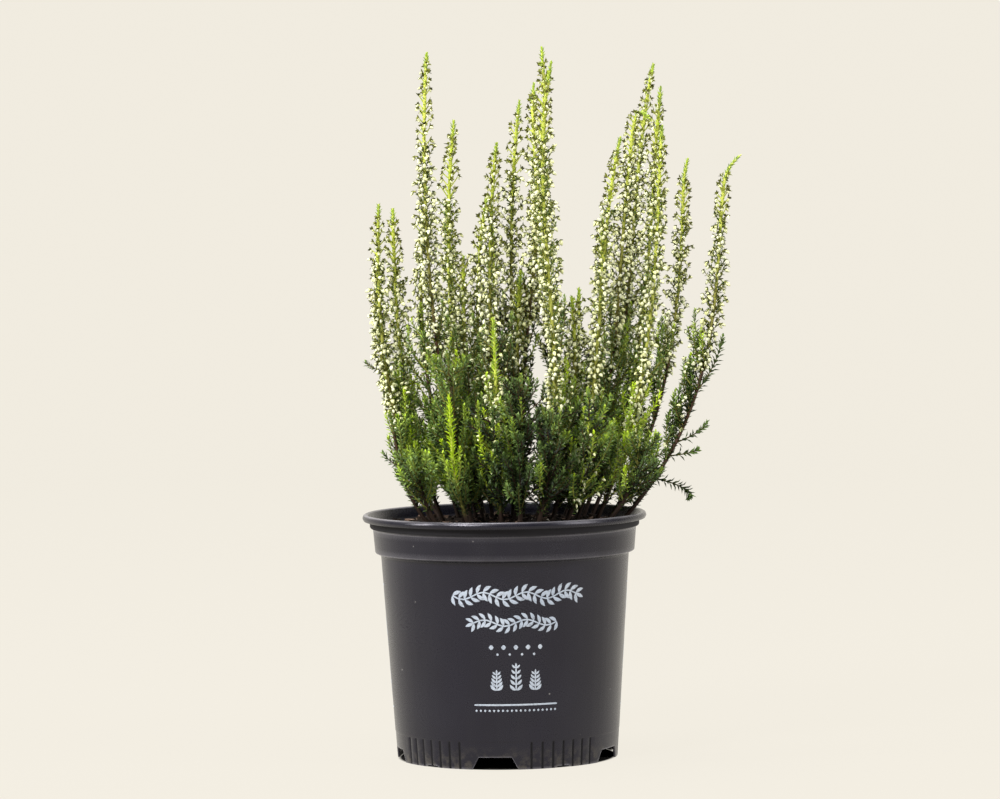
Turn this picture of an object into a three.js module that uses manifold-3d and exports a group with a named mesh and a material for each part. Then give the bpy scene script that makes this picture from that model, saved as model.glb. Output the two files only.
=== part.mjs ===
// A potted heather: a bushy young plant with upright flowering stems, in a round nursery pot.
// Lengths are millimetres and Z is up. The pot's axis is the Z axis and its foot stands at Z = 0.
// The front of the plant faces -Y.
import * as THREE from 'three';
import { mergeVertices } from 'three/addons/utils/BufferGeometryUtils.js';
import Module from 'manifold-3d';

const wasm = await Module();
wasm.setup();

// Pot: blown or injected black plastic, with a rolled lip, a band under it and a fluted foot.
const POT_SIDES = 36;
const POT_HEIGHT = 112;
const LIP_RADIUS = 65;
const LIP_UNDERSIDE_Z = 108.8;
const NECK_RADIUS = 61.7;
const BAND_TOP_Z = 105;
const BAND_TOP_RADIUS = 60.2;
const BAND_BOTTOM_Z = 94.4;
const BAND_BOTTOM_RADIUS = 59.3;
const WALL_TOP_Z = 93.2;
const WALL_TOP_RADIUS = 56.7;
const FOOT_RADIUS = 50.5;
const WALL = 1.2;
const BASE_UNDERSIDE_Z = 5.8;
const BASE_TOP_Z = 7.3;
const CENTRE_PAD_RADIUS = 11;
const WALL_STEP = 0.4;
const NECK_ROOT_STEP = 0.1;
const NECK_ROOT_RISE = 0.9;
const NECK_ROUNDING = 0.2;
const LIP_TUCK = 0.7;
const LIP_TUCK_RISE = 1.3;
const LIP_SHOULDER = 0.5;
const LIP_CREST_IN = 1.4;
const LIP_INNER_IN = 2.6;
const CUT_OVERRUN = 1;
const RELIEF_TAPER = 0.7;

// Foot of the pot: five arched ways out for water, shallow reliefs between them, and flutes.
const FOOT_SECTIONS = 5;
const FIRST_NOTCH_DEG = -6.5;
const NOTCH_BOTTOM_WIDTH = 21;
const NOTCH_TOP_WIDTH = 15;
const NOTCH_HEIGHT = 5.6;
const RELIEF_WIDTH = 8;
const RELIEF_HEIGHT = 0.8;
const FLUTES_PER_SECTION = 6;
const FLUTE_PITCH_DEG = 5.8;
const FLUTE_TOP_Z = 12.4;
const FLUTE_WIDTH = 2.2;
const FLUTE_DEPTH = 0.5;
const DRAIN_RING_RADIUS = 36;
const DRAIN_RADIUS = 4;
const DRAIN_SIDES = 8;

// Soil: peat that fills the pot to a little under the lip, higher round the stems.
const SOIL_SIDES = 30;
const SOIL_EDGE_Z = 104.6;
const SOIL_MOUND = 4;
const SOIL_LUMP = 0.7;
const SOIL_RINGS = [17, 33, 48];
const SOIL_EDGE_IN = 0.6;
const SOIL_EDGE_DROP = 1;
const LUMP_X = 0.31;
const LUMP_PHASE = 1.3;
const LUMP_Y = 0.27;
const SLANT_Y = 0.17;
const SLANT_X = 0.23;
const TOUCH_GAP = 0.3;

// Stems: woody feet in the soil, needle leaves above them, and buds toward the tips.
const STEM_FOOT_Z = 97;
const STEM_FOOT_RADIUS = 1.25;
const HOLE_CLEARANCE = 0.5;
const FOOT_TOP_Z = 112;
const FOOT_LEAN_IN = 0.5;
const FOOT_SHIFT_X = 1;
const FOOT_DEPTH_SHARE = 0.78;
const FOOT_SHIFT_Y = -3;
const KNEE_SHARE = 0.72;
const NEEDLES_START_Z = 116;
const NEEDLE_PITCH = 8.2;
const NEEDLE_CORE = 1.15;
const NEEDLE_REACH = 3.8;
const BUD_PITCH = 5.7;
const BUD_CORE = 1.5;
const TIP_PITCH = 6;
const RING_TWIST_DEG = 24;
const CELL_GAP = 0.4;
const LIP_ROOM = 5;
const LIP_ROOM_ABOVE = 2;
const LEAF_LIFT = 0.6;
const TIP_CLEAR = 3.6;
const LEAST_RISEN = 1.15;
const BUD_CORE_FROM = 0.3;
const REACH_LEAST = 0.82;
const REACH_VARIES = 0.36;
const TAPER_LEAST = 0.35;
const TAPER_LENGTH = 22;

// How far the buds of a flowering stem reach from its axis. Each pair holds the place under
// the tip, as a share of the flowering length, and the reach.
const BUD_REACH = [[0, 1.1], [0.14, 2.5], [0.35, 5.2], [0.6, 6.6], [0.85, 7.2], [1, 6.2], [1.15, 4.2]];
const BLOOM_REACHES_DOWN = 1.15;

// Side shoots: they leave a stem at a slant and turn up beside it.
const SHOOT_CORE = 1.0;
const SHOOT_REACH = 3.5;
const SHOOT_PITCH = 8.5;
const SHOOT_FAN_DEG = 110;
const SHOOT_ROOT_REACH = 0.8;
const SHOOT_ROOT_CORE = 0.7;
const SHOOT_TIP_SHARE = 0.75;
const SHOOT_REACH_LEAST = 0.85;
const SHOOT_REACH_VARIES = 0.3;
const SHOOT_ROOM = 1.8;
const SHOOT_LEAST_RISE = 22;
const SHOOT_RISE_VARIES = 10;
const SHOOT_LEAST_SPREAD = 9;
const SHOOT_SPREAD_VARIES = 6;
const SHOOT_BELOW_TIP = 4;
const SHOOTS_START = 3;
const SHOOTS_LEAST_HEIGHT = 12;
const SHOOTS_UNDER_BLOOM = 0.12;
const GOLDEN_ANGLE_DEG = 137.5;
const HOOK_SHARE = 0.1;

// Where each kind of random draw starts, so that no two kinds share a number.
const DRAWS_PER_STEM = 100;
const RISE_DRAW = 40;
const SPREAD_DRAW = 60;
const SHOOT_DRAW = 80;
const DRAWS_PER_SHOOT = 7;
const DRAWS_PER_RING = 3;
const TURN_DRAWS_PER_STEM = 10;

// Each stem: the place of its shoulder, two thirds of the way up, as X and Y, then its tip as
// X, Y and Z. bloom is the share of its height that flowers, girth widens or narrows its buds,
// and shoots is how many side shoots it carries under them. Where it has a hook, its last part
// bends that far aside and down. Where it has an aim, its shoots fan out that way, in degrees.
// A foot or knee moves that place of the stem aside, and shootScale makes its shoots shorter.
// Where it has twigs, they are its side shoots: root height, direction, rise and spread.
const STEMS = [
  {
    name: 'left_edge', shoulder: [-55, -12], tip: [-55, -12, 254], bloom: 0.5, girth: 0.85, shoots: 4,
    aim: 30,
  },
  {
    name: 'left_hidden', shoulder: [-56, 12], tip: [-56, 12, 236], bloom: 0.5, girth: 0.85, shoots: 4,
    aim: -20,
  },
  { name: 'left_second', shoulder: [-47.5, 0], tip: [-49, 2, 252], bloom: 0.5, girth: 1.0, shoots: 3 },
  {
    name: 'left_tallest', shoulder: [-33.5, -20], tip: [-32, -20, 322], bloom: 0.55, girth: 1.0, shoots: 4,
    knee: [1, 0],
  },
  { name: 'left_inner', shoulder: [-24, 16], tip: [-20.5, 18, 292], bloom: 0.55, girth: 1.2, shoots: 3 },
  { name: 'left_cluster', shoulder: [-17, -6], tip: [-17, -6, 230], bloom: 0.4, girth: 1.2, shoots: 4 },
  { name: 'centre_front', shoulder: [-5, -24], tip: [-1, -26, 281], bloom: 0.5, girth: 1.0, shoots: 3 },
  { name: 'centre_left', shoulder: [-11, 8], tip: [-6, 8, 257], bloom: 0.5, girth: 0.95, shoots: 3 },
  {
    name: 'centre_back', shoulder: [5, 26], tip: [9.8, 30, 301], bloom: 0.5, girth: 1.1, shoots: 3,
    aim: 120,
  },
  {
    name: 'centre_short', shoulder: [7, -2], tip: [9, -4, 223], bloom: 0.4, girth: 0.9, shoots: 3,
    aim: 190,
  },
  {
    name: 'centre_tallest', shoulder: [18, 13], tip: [20, 16, 325], bloom: 0.5, girth: 1.0, shoots: 3,
    knee: [-6, 0], aim: 150,
  },
  {
    name: 'centre_lime', shoulder: [19, -13], tip: [16, -13, 308], bloom: 0.5, girth: 1.0, shoots: 3,
    knee: [7, 0], aim: -20,
  },
  {
    name: 'centre_right', shoulder: [20, -32], tip: [24, -34, 317], bloom: 0.5, girth: 1.15, shoots: 3,
    knee: [6, 0], aim: -10,
  },
  {
    name: 'centre_gap', shoulder: [33, -2], tip: [32, -4, 211], bloom: 0.35, girth: 0.9, shoots: 3,
    aim: 0,
  },
  { name: 'right_inner', shoulder: [46, -16], tip: [55, -18, 283], bloom: 0.5, girth: 0.95, shoots: 3 },
  {
    name: 'right_hooked', shoulder: [56, 8], tip: [64.5, 8, 305], bloom: 0.45, girth: 0.85, shoots: 3,
    hook: [6, 0, -16],
  },
  { name: 'right_tallest', shoulder: [62, 30], tip: [72, 32, 317], bloom: 0.5, girth: 0.95, shoots: 3 },
  { name: 'right_back', shoulder: [70, 49], tip: [76, 52, 307], bloom: 0.5, girth: 1.1, shoots: 3 },
  { name: 'right_lime', shoulder: [70, -10], tip: [74, -10, 288], bloom: 0.5, girth: 0.95, shoots: 3 },
  {
    name: 'right_outer', shoulder: [81.7, 15], tip: [85, 16, 273], bloom: 0.5, girth: 1.0, shoots: 4,
    hook: [2, 0, 0], aim: 190,
  },
  {
    name: 'right_leaning', shoulder: [98, -5], tip: [103.4, -6, 274], bloom: 0.5, girth: 1.0,
    hook: [7, 0, 0], foot: [-7, 0], knee: [2, 0],
    twigs: [[127, -10, -8, 22], [143, 0, 9, 10], [144, 180, 13, 9], [150, 185, 18, 8],
      [158, 180, 22, 5.5], [166, 0, 25, 6]],
  },
  {
    name: 'front_left_lime', shoulder: [-23, -48], tip: [-24, -49, 169], bloom: 0.5, girth: 0.6, shoots: 3,
    shootScale: 0.5,
  },
  { name: 'front_lime', shoulder: [-3, -45], tip: [-4, -47, 203], bloom: 0.5, girth: 0.8, shoots: 4 },
  { name: 'front_right_lime', shoulder: [38, -36], tip: [38, -38, 171], bloom: 0.5, girth: 0.7, shoots: 4 },
  { name: 'front_left_dark', shoulder: [-22, -32], tip: [-25, -34, 188], bloom: 0, girth: 1, shoots: 3 },
  {
    name: 'front_dark', shoulder: [9, -50], tip: [8, -52, 178], bloom: 0, girth: 1, shoots: 3,
    aim: 220,
  },
  { name: 'front_centre_dark', shoulder: [20, -49], tip: [17, -51, 164], bloom: 0, girth: 1, shoots: 3 },
  { name: 'low_right', shoulder: [60, -28], tip: [62, -30, 152], bloom: 0, girth: 1, shoots: 4 },
  {
    name: 'low_left', shoulder: [-47.5, -25], tip: [-51.5, -27, 161], bloom: 0, girth: 1, shoots: 3,
    aim: 40,
  },
  { name: 'low_left_front', shoulder: [-38, -42], tip: [-42, -46, 146], bloom: 0, girth: 1, shoots: 3 },
  { name: 'back_left', shoulder: [-37, 28], tip: [-34, 30, 262], bloom: 0.45, girth: 0.95, shoots: 3 },
  { name: 'back_left_outer', shoulder: [-22, 42], tip: [-25, 46, 250], bloom: 0.45, girth: 1.0, shoots: 3 },
  { name: 'back_centre', shoulder: [-3, 48], tip: [-4, 52, 245], bloom: 0.45, girth: 1.0, shoots: 3 },
  {
    name: 'back_right_tall', shoulder: [18, 42], tip: [18, 46, 270], bloom: 0.45, girth: 0.95, shoots: 3,
    knee: [8, 0], aim: 20,
  },
  { name: 'back_inner', shoulder: [35, 24], tip: [36, 28, 214], bloom: 0.35, girth: 0.9, shoots: 3 },
  { name: 'back_right', shoulder: [46, 46], tip: [48, 50, 248], bloom: 0.45, girth: 0.95, shoots: 3 },
  { name: 'low_back_right', shoulder: [26, 58], tip: [30, 64, 168], bloom: 0, girth: 1, shoots: 3 },
  { name: 'low_back_left', shoulder: [-14, 60], tip: [-18, 66, 164], bloom: 0, girth: 1, shoots: 3 },
  { name: 'low_left_back', shoulder: [-46, 38], tip: [-50, 43, 184], bloom: 0, girth: 1, shoots: 3 },
  { name: 'low_right_back', shoulder: [44, 62], tip: [50, 68, 176], bloom: 0, girth: 1, shoots: 3 },
];

const radians = THREE.MathUtils.degToRad;
const UP = new THREE.Vector3(0, 0, 1);

// A repeatable random number from 0 to 1 for each whole number.
function chance(n) {
  const wave = Math.sin((n + 1) * 12.9898) * 43758.5453;
  return wave - Math.floor(wave);
}

// The value at x on a line through pairs of x and value, level past its ends.
function alongPairs(pairs, x) {
  const next = pairs.findIndex((pair) => pair[0] > x);
  if (next === 0) {
    return pairs[0][1];
  }
  if (next < 0) {
    return pairs[pairs.length - 1][1];
  }
  const [x0, y0] = pairs[next - 1];
  const [x1, y1] = pairs[next];
  return THREE.MathUtils.mapLinear(x, x0, x1, y0, y1);
}

// A solid for joins and cuts, from a closed geometry.
function solidOf(geometry) {
  const bare = geometry.clone();
  bare.deleteAttribute('normal');
  bare.deleteAttribute('uv');
  const closed = mergeVertices(bare, 1e-4);
  return solidFrom(closed.attributes.position.array, closed.index.array);
}

// A solid from plain lists of coordinates and triangle corners.
function solidFrom(coordinates, corners) {
  const vertProperties = new Float32Array(coordinates);
  const triVerts = new Uint32Array(corners);
  return new wasm.Manifold(new wasm.Mesh({ numProp: 3, vertProperties, triVerts }));
}

// The geometry of a solid, once its joins and cuts are made.
function geometryOf(solid) {
  const mesh = solid.getMesh();
  const geometry = new THREE.BufferGeometry();
  geometry.setAttribute('position', new THREE.BufferAttribute(mesh.vertProperties, 3));
  geometry.setIndex(new THREE.BufferAttribute(mesh.triVerts, 1));
  geometry.computeVertexNormals();
  return geometry;
}

// A lathe solid about Z, from a profile of radius and height that starts and ends on the axis.
function turned(profile, sides) {
  const points = profile.map(([radius, z]) => new THREE.Vector2(radius, z));
  const geometry = new THREE.LatheGeometry(points, sides);
  geometry.rotateX(Math.PI / 2);
  return solidOf(geometry);
}

// A block whose outline is drawn as seen from outside the pot, reaching in through the skirt,
// at an angle about the pot's axis. Angle 0 is the front.
function skirtCutter(outline, angleDeg) {
  const shape = new THREE.Shape(outline.map(([x, z]) => new THREE.Vector2(x, z)));
  const depth = 4 * WALL;
  const geometry = new THREE.ExtrudeGeometry(shape, { depth, bevelEnabled: false });
  geometry.rotateX(Math.PI / 2);
  geometry.translate(0, -(FOOT_RADIUS - 2 * WALL), 0);
  geometry.rotateZ(radians(angleDeg));
  return solidOf(geometry);
}

// One arched way out for water: a notch with slanted sides, open at the bottom of the skirt.
function notchCutter(angleDeg) {
  const below = -CUT_OVERRUN;
  const outline = [
    [-NOTCH_BOTTOM_WIDTH / 2, below],
    [NOTCH_BOTTOM_WIDTH / 2, below],
    [NOTCH_TOP_WIDTH / 2, NOTCH_HEIGHT],
    [-NOTCH_TOP_WIDTH / 2, NOTCH_HEIGHT],
  ];
  return skirtCutter(outline, angleDeg);
}

// A shallow relief in the bottom edge, midway between two notches.
function reliefCutter(angleDeg) {
  const below = -CUT_OVERRUN;
  const half = RELIEF_WIDTH / 2;
  const top = RELIEF_TAPER * half;
  const outline = [[-half, below], [half, below], [top, RELIEF_HEIGHT], [-top, RELIEF_HEIGHT]];
  return skirtCutter(outline, angleDeg);
}

// One flute: a three-sided rod set upright into the skin, sunk in by the flute's depth.
function fluteCutter(angleDeg) {
  const out = FOOT_RADIUS + 2 * CUT_OVERRUN;
  const half = FLUTE_WIDTH / 2;
  const spread = half * (2 * CUT_OVERRUN + FLUTE_DEPTH) / FLUTE_DEPTH;
  const shape = new THREE.Shape([
    new THREE.Vector2(0, -(FOOT_RADIUS - FLUTE_DEPTH)),
    new THREE.Vector2(-spread, -out),
    new THREE.Vector2(spread, -out),
  ]);
  const depth = FLUTE_TOP_Z + CUT_OVERRUN;
  const geometry = new THREE.ExtrudeGeometry(shape, { depth, bevelEnabled: false });
  geometry.translate(0, 0, -CUT_OVERRUN);
  geometry.rotateZ(radians(angleDeg));
  return solidOf(geometry);
}

// One round drain hole through the raised base.
function drainCutter(angleDeg) {
  const depth = BASE_TOP_Z - BASE_UNDERSIDE_Z + 2 * CUT_OVERRUN;
  const geometry = new THREE.CylinderGeometry(DRAIN_RADIUS, DRAIN_RADIUS, depth, DRAIN_SIDES);
  geometry.rotateX(Math.PI / 2);
  geometry.translate(0, -DRAIN_RING_RADIUS, (BASE_TOP_Z + BASE_UNDERSIDE_Z) / 2);
  geometry.rotateZ(radians(angleDeg));
  return solidOf(geometry);
}

function pot() {
  const profile = [
    [0, 0],
    [CENTRE_PAD_RADIUS, 0],
    [CENTRE_PAD_RADIUS, BASE_UNDERSIDE_Z],
    [FOOT_RADIUS - WALL, BASE_UNDERSIDE_Z],
    [FOOT_RADIUS - WALL, 0],
    [FOOT_RADIUS, 0],
    [WALL_TOP_RADIUS, WALL_TOP_Z],
    [BAND_BOTTOM_RADIUS, BAND_BOTTOM_Z],
    [BAND_TOP_RADIUS, BAND_TOP_Z],
    [NECK_RADIUS - NECK_ROOT_STEP, BAND_TOP_Z + NECK_ROOT_RISE],
    [NECK_RADIUS, LIP_UNDERSIDE_Z - NECK_ROUNDING],
    [LIP_RADIUS - LIP_TUCK, LIP_UNDERSIDE_Z],
    [LIP_RADIUS, LIP_UNDERSIDE_Z + LIP_TUCK_RISE],
    [LIP_RADIUS - LIP_SHOULDER, POT_HEIGHT - LIP_SHOULDER],
    [LIP_RADIUS - LIP_CREST_IN, POT_HEIGHT],
    [LIP_RADIUS - LIP_INNER_IN, POT_HEIGHT - WALL_STEP],
    [NECK_RADIUS - WALL, LIP_UNDERSIDE_Z - WALL_STEP],
    [BAND_TOP_RADIUS - WALL, BAND_TOP_Z - WALL_STEP],
    [BAND_BOTTOM_RADIUS - WALL, BAND_BOTTOM_Z + WALL_STEP],
    [WALL_TOP_RADIUS - WALL, WALL_TOP_Z - WALL_STEP],
    [innerRadius(BASE_TOP_Z), BASE_TOP_Z],
    [0, BASE_TOP_Z],
  ];
  let body = turned(profile, POT_SIDES);
  const section = 360 / FOOT_SECTIONS;
  for (let s = 0; s < FOOT_SECTIONS; s += 1) {
    const notchAt = FIRST_NOTCH_DEG + s * section;
    const midway = notchAt + section / 2;
    body = body.subtract(notchCutter(notchAt));
    body = body.subtract(reliefCutter(midway));
    body = body.subtract(drainCutter(midway));
    for (let f = 0; f < FLUTES_PER_SECTION; f += 1) {
      const step = f - (FLUTES_PER_SECTION - 1) / 2;
      body = body.subtract(fluteCutter(midway + step * FLUTE_PITCH_DEG));
    }
  }
  return geometryOf(body);
}

// The radius of the pot's inner wall below the band, at a height.
function innerRadius(z) {
  const slope = (WALL_TOP_RADIUS - FOOT_RADIUS) / WALL_TOP_Z;
  return FOOT_RADIUS - WALL + slope * z;
}

// The height of the soil at a place: a low mound with lumps, level at the pot's wall.
function soilHeight(x, y) {
  const inward = 1 - Math.hypot(x, y) / innerRadius(SOIL_EDGE_Z);
  const mound = SOIL_MOUND * Math.sqrt(Math.max(inward, 0));
  const across = Math.sin(LUMP_X * x + LUMP_PHASE) * Math.cos(LUMP_Y * y);
  const slanting = Math.sin(SLANT_Y * y - SLANT_X * x);
  return SOIL_EDGE_Z + mound + SOIL_LUMP * (across + slanting);
}

// The soil without its holes: rings of points from the middle out, then down the wall.
function soilBody() {
  const inWall = Math.cos(Math.PI / POT_SIDES);
  const edge = (radius) => radius * inWall - TOUCH_GAP;
  const rings = SOIL_RINGS.map((radius) => [radius, null]);
  rings.push([edge(BAND_TOP_RADIUS - WALL) - SOIL_EDGE_IN, null]);
  rings.push([edge(BAND_BOTTOM_RADIUS - WALL), BAND_BOTTOM_Z + SOIL_EDGE_DROP]);
  rings.push([edge(WALL_TOP_RADIUS - WALL), WALL_TOP_Z - WALL_STEP]);
  rings.push([edge(innerRadius(BASE_TOP_Z)), BASE_TOP_Z + TOUCH_GAP]);
  const coordinates = [0, 0, soilHeight(0, 0)];
  const corners = [];
  for (const [radius, z] of rings) {
    for (let k = 0; k < SOIL_SIDES; k += 1) {
      const angle = (2 * Math.PI * k) / SOIL_SIDES;
      const x = radius * Math.cos(angle);
      const y = radius * Math.sin(angle);
      coordinates.push(x, y, z ?? soilHeight(x, y));
    }
  }
  const at = (ring, k) => 1 + ring * SOIL_SIDES + (k % SOIL_SIDES);
  const bottom = coordinates.length / 3;
  coordinates.push(0, 0, BASE_TOP_Z + TOUCH_GAP);
  for (let k = 0; k < SOIL_SIDES; k += 1) {
    corners.push(0, at(0, k), at(0, k + 1));
    for (let ring = 0; ring < rings.length - 1; ring += 1) {
      corners.push(at(ring, k), at(ring + 1, k), at(ring + 1, k + 1));
      corners.push(at(ring, k), at(ring + 1, k + 1), at(ring, k + 1));
    }
    corners.push(bottom, at(rings.length - 1, k + 1), at(rings.length - 1, k));
  }
  return solidFrom(coordinates, corners);
}

// The two level rings of a stem's bare foot, from the bottom of its hole to its first leaves.
function footRings(stem, radius, below) {
  const high = axisAt(stem, FOOT_TOP_Z);
  const low = axisAt(stem, STEM_FOOT_Z);
  low.addScaledVector(high.clone().sub(low), -below / (FOOT_TOP_Z - STEM_FOOT_Z));
  const plain = { core: radius, reach: radius, turn: 0, along: UP };
  return [{ centre: low, ...plain }, { centre: high, ...plain }];
}

// The plain hole that one stem stands in: four-sided like the stem's foot, and a little wider.
function stemHole(stem) {
  const rings = footRings(stem, STEM_FOOT_RADIUS + HOLE_CLEARANCE, TOUCH_GAP);
  return twig(stem, rings, axisAt(stem, FOOT_TOP_Z + 1));
}

function soil() {
  let body = soilBody();
  for (const stem of STEMS) {
    body = body.subtract(stemHole(stem));
  }
  return geometryOf(body);
}

// The places that a stem's axis passes, in X and Y, at its foot, one and two thirds of the way
// up and at its tip. The foot stands closer in than the shoulder, as all stems share one crown.
function waypoints(stem) {
  const [sx, sy] = stem.shoulder;
  const [footX, footY] = stem.foot ?? [0, 0];
  const [kneeX, kneeY] = stem.knee ?? [0, 0];
  const foot = [FOOT_LEAN_IN * sx + FOOT_SHIFT_X + footX, FOOT_DEPTH_SHARE * sy + FOOT_SHIFT_Y + footY];
  const knee = [
    THREE.MathUtils.lerp(foot[0], sx, KNEE_SHARE) + kneeX,
    THREE.MathUtils.lerp(foot[1], sy, KNEE_SHARE) + kneeY,
  ];
  return [foot, knee, stem.shoulder, stem.tip];
}

// The place of a stem's axis at a height: the cubic that passes the four waypoints.
function axisAt(stem, z) {
  const t = THREE.MathUtils.clamp((z - STEM_FOOT_Z) / (stem.tip[2] - STEM_FOOT_Z), 0, 1);
  const weights = [
    -4.5 * (t - 1 / 3) * (t - 2 / 3) * (t - 1),
    13.5 * t * (t - 2 / 3) * (t - 1),
    -13.5 * t * (t - 1 / 3) * (t - 1),
    4.5 * t * (t - 1 / 3) * (t - 2 / 3),
  ];
  const place = new THREE.Vector3(0, 0, z);
  waypoints(stem).forEach(([x, y], k) => {
    place.x += weights[k] * x;
    place.y += weights[k] * y;
  });
  return place;
}

// The place of a stem's skin centre at a height: its axis, with its last part bent over.
function centreAt(stem, z) {
  const place = axisAt(stem, z);
  if (stem.hook) {
    const bend = HOOK_SHARE * (stem.tip[2] - STEM_FOOT_Z);
    const past = Math.max(0, 1 - (stem.tip[2] - z) / bend);
    place.addScaledVector(new THREE.Vector3(...stem.hook), past ** 3);
  }
  return place;
}

// Bends a point back into its stem's own room: nearer to its own axis than to any other at that
// height, by at least the margin, and inside the lip where it is as low as the lip.
function keepInRoom(stem, point, margin) {
  const own = axisAt(stem, point.z);
  for (const other of STEMS) {
    if (other !== stem && point.z < other.tip[2] + 1) {
      const away = axisAt(other, point.z).sub(own);
      const apart = away.length();
      away.divideScalar(apart);
      const past = point.clone().sub(own).dot(away) - (apart / 2 - margin);
      if (past > 0) {
        point.addScaledVector(away, -past);
      }
    }
  }
  const lipRoom = LIP_RADIUS - LIP_ROOM - margin;
  const out = Math.hypot(point.x, point.y);
  if (point.z < POT_HEIGHT + LIP_ROOM_ABOVE + margin && out > lipRoom) {
    point.x *= lipRoom / out;
    point.y *= lipRoom / out;
  }
  return point;
}

// A leafy twig as one closed skin. Rings of four points follow the twig. On every other point
// the skin rises to a leaf or bud, and the next ring has them between the last ones, as
// heather leaves stand. A ring holds its centre, core radius, reach and turn.
function twig(stem, rings, tip) {
  const coordinates = [];
  const corners = [];
  rings.forEach((ring, i) => {
    const next = i + 1 < rings.length ? rings[i + 1].centre : tip;
    const along = ring.along ?? next.clone().sub(rings[Math.max(i - 1, 0)].centre).normalize();
    const across = new THREE.Vector3(0, 1, 0).addScaledVector(along, -along.y).normalize();
    const sideways = across.clone().cross(along);
    for (let j = 0; j < 4; j += 1) {
      const risen = (i + j) % 2 === 0;
      const radius = risen ? ring.reach : ring.core;
      const angle = ring.turn + (Math.PI / 2) * j;
      const point = ring.centre.clone();
      point.addScaledVector(sideways, radius * Math.cos(angle));
      point.addScaledVector(across, radius * Math.sin(angle));
      point.addScaledVector(along, risen ? LEAF_LIFT * (ring.reach - ring.core) : 0);
      keepInRoom(stem, point, CELL_GAP);
      coordinates.push(point.x, point.y, point.z);
    }
  });
  coordinates.push(tip.x, tip.y, tip.z);
  const at = (i, j) => 4 * i + (j % 4);
  const last = rings.length - 1;
  corners.push(at(0, 0), at(0, 2), at(0, 1), at(0, 0), at(0, 3), at(0, 2));
  for (let j = 0; j < 4; j += 1) {
    for (let i = 0; i < last; i += 1) {
      if ((i + j) % 2 === 0) {
        corners.push(at(i, j), at(i, j + 1), at(i + 1, j));
        corners.push(at(i, j + 1), at(i + 1, j + 1), at(i + 1, j));
      } else {
        corners.push(at(i, j), at(i + 1, j + 1), at(i + 1, j));
        corners.push(at(i, j), at(i, j + 1), at(i + 1, j + 1));
      }
    }
    corners.push(at(last, j), at(last, j + 1), 4 * rings.length);
  }
  return solidFrom(coordinates, corners);
}

// The stem itself: a bare woody foot, needles above it, and buds up to the tip.
function mainTwig(stem, seed) {
  const top = stem.tip[2];
  const bloomLength = stem.bloom * (top - STEM_FOOT_Z);
  const heights = [];
  let z = NEEDLES_START_Z;
  while (z < top - TIP_CLEAR) {
    heights.push(z);
    const inBloom = top - z < bloomLength;
    z += inBloom && top - z > 2 * TIP_PITCH ? BUD_PITCH : inBloom ? TIP_PITCH : NEEDLE_PITCH;
  }
  const rings = footRings(stem, STEM_FOOT_RADIUS, 0);
  heights.forEach((height, i) => {
    const below = top - height;
    const share = below / Math.max(bloomLength, 1);
    const blooming = stem.bloom > 0 && share < BLOOM_REACHES_DOWN;
    const vary = REACH_LEAST + REACH_VARIES * chance(seed + i);
    const taper = Math.min(1, TAPER_LEAST + below / TAPER_LENGTH);
    const reach = blooming ? stem.girth * alongPairs(BUD_REACH, share) : taper * NEEDLE_REACH;
    const core = blooming && share > BUD_CORE_FROM ? BUD_CORE : taper * NEEDLE_CORE;
    const turn = radians(RING_TWIST_DEG) * i;
    const risen = Math.max(core * LEAST_RISEN, reach * vary);
    rings.push({ centre: centreAt(stem, height), core, reach: risen, turn });
  });
  return twig(stem, rings, centreAt(stem, top));
}

// A side shoot: it leaves the stem at a height in a direction, and ends a rise higher and a
// spread farther out.
function sideTwig(stem, rootZ, azimuth, rise, spread, seed) {
  const away = new THREE.Vector3(Math.cos(azimuth), Math.sin(azimuth), 0);
  const count = Math.max(3, Math.round(Math.hypot(rise, spread) / SHOOT_PITCH) + 1);
  const placeAt = (u) => {
    const point = axisAt(stem, rootZ + rise * u);
    point.z = rootZ + rise * u;
    point.addScaledVector(away, spread * (1 - (1 - u) ** 2));
    return u > 0 ? keepInRoom(stem, point, SHOOT_ROOM) : point;
  };
  const rings = [];
  for (let i = 0; i < count; i += 1) {
    const u = i / count;
    const vary = SHOOT_REACH_LEAST + SHOOT_REACH_VARIES * chance(seed + DRAWS_PER_RING * i);
    const outer = SHOOT_REACH * vary * (i + 1 < count ? 1 : SHOOT_TIP_SHARE);
    const reach = i === 0 ? SHOOT_ROOT_REACH : outer;
    const core = i === 0 ? SHOOT_ROOT_CORE : SHOOT_CORE;
    rings.push({ centre: placeAt(u), core, reach, turn: azimuth + radians(RING_TWIST_DEG) * i });
  }
  return twig(stem, rings, placeAt(1));
}

// The direction that a side shoot leaves in, in degrees from +X.
function shootAzimuth(stem, k, number) {
  if (stem.aim !== undefined) {
    return stem.aim + SHOOT_FAN_DEG * (chance(TURN_DRAWS_PER_STEM * number + k) - 0.5);
  }
  return GOLDEN_ANGLE_DEG * k + 360 * chance(number);
}

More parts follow.
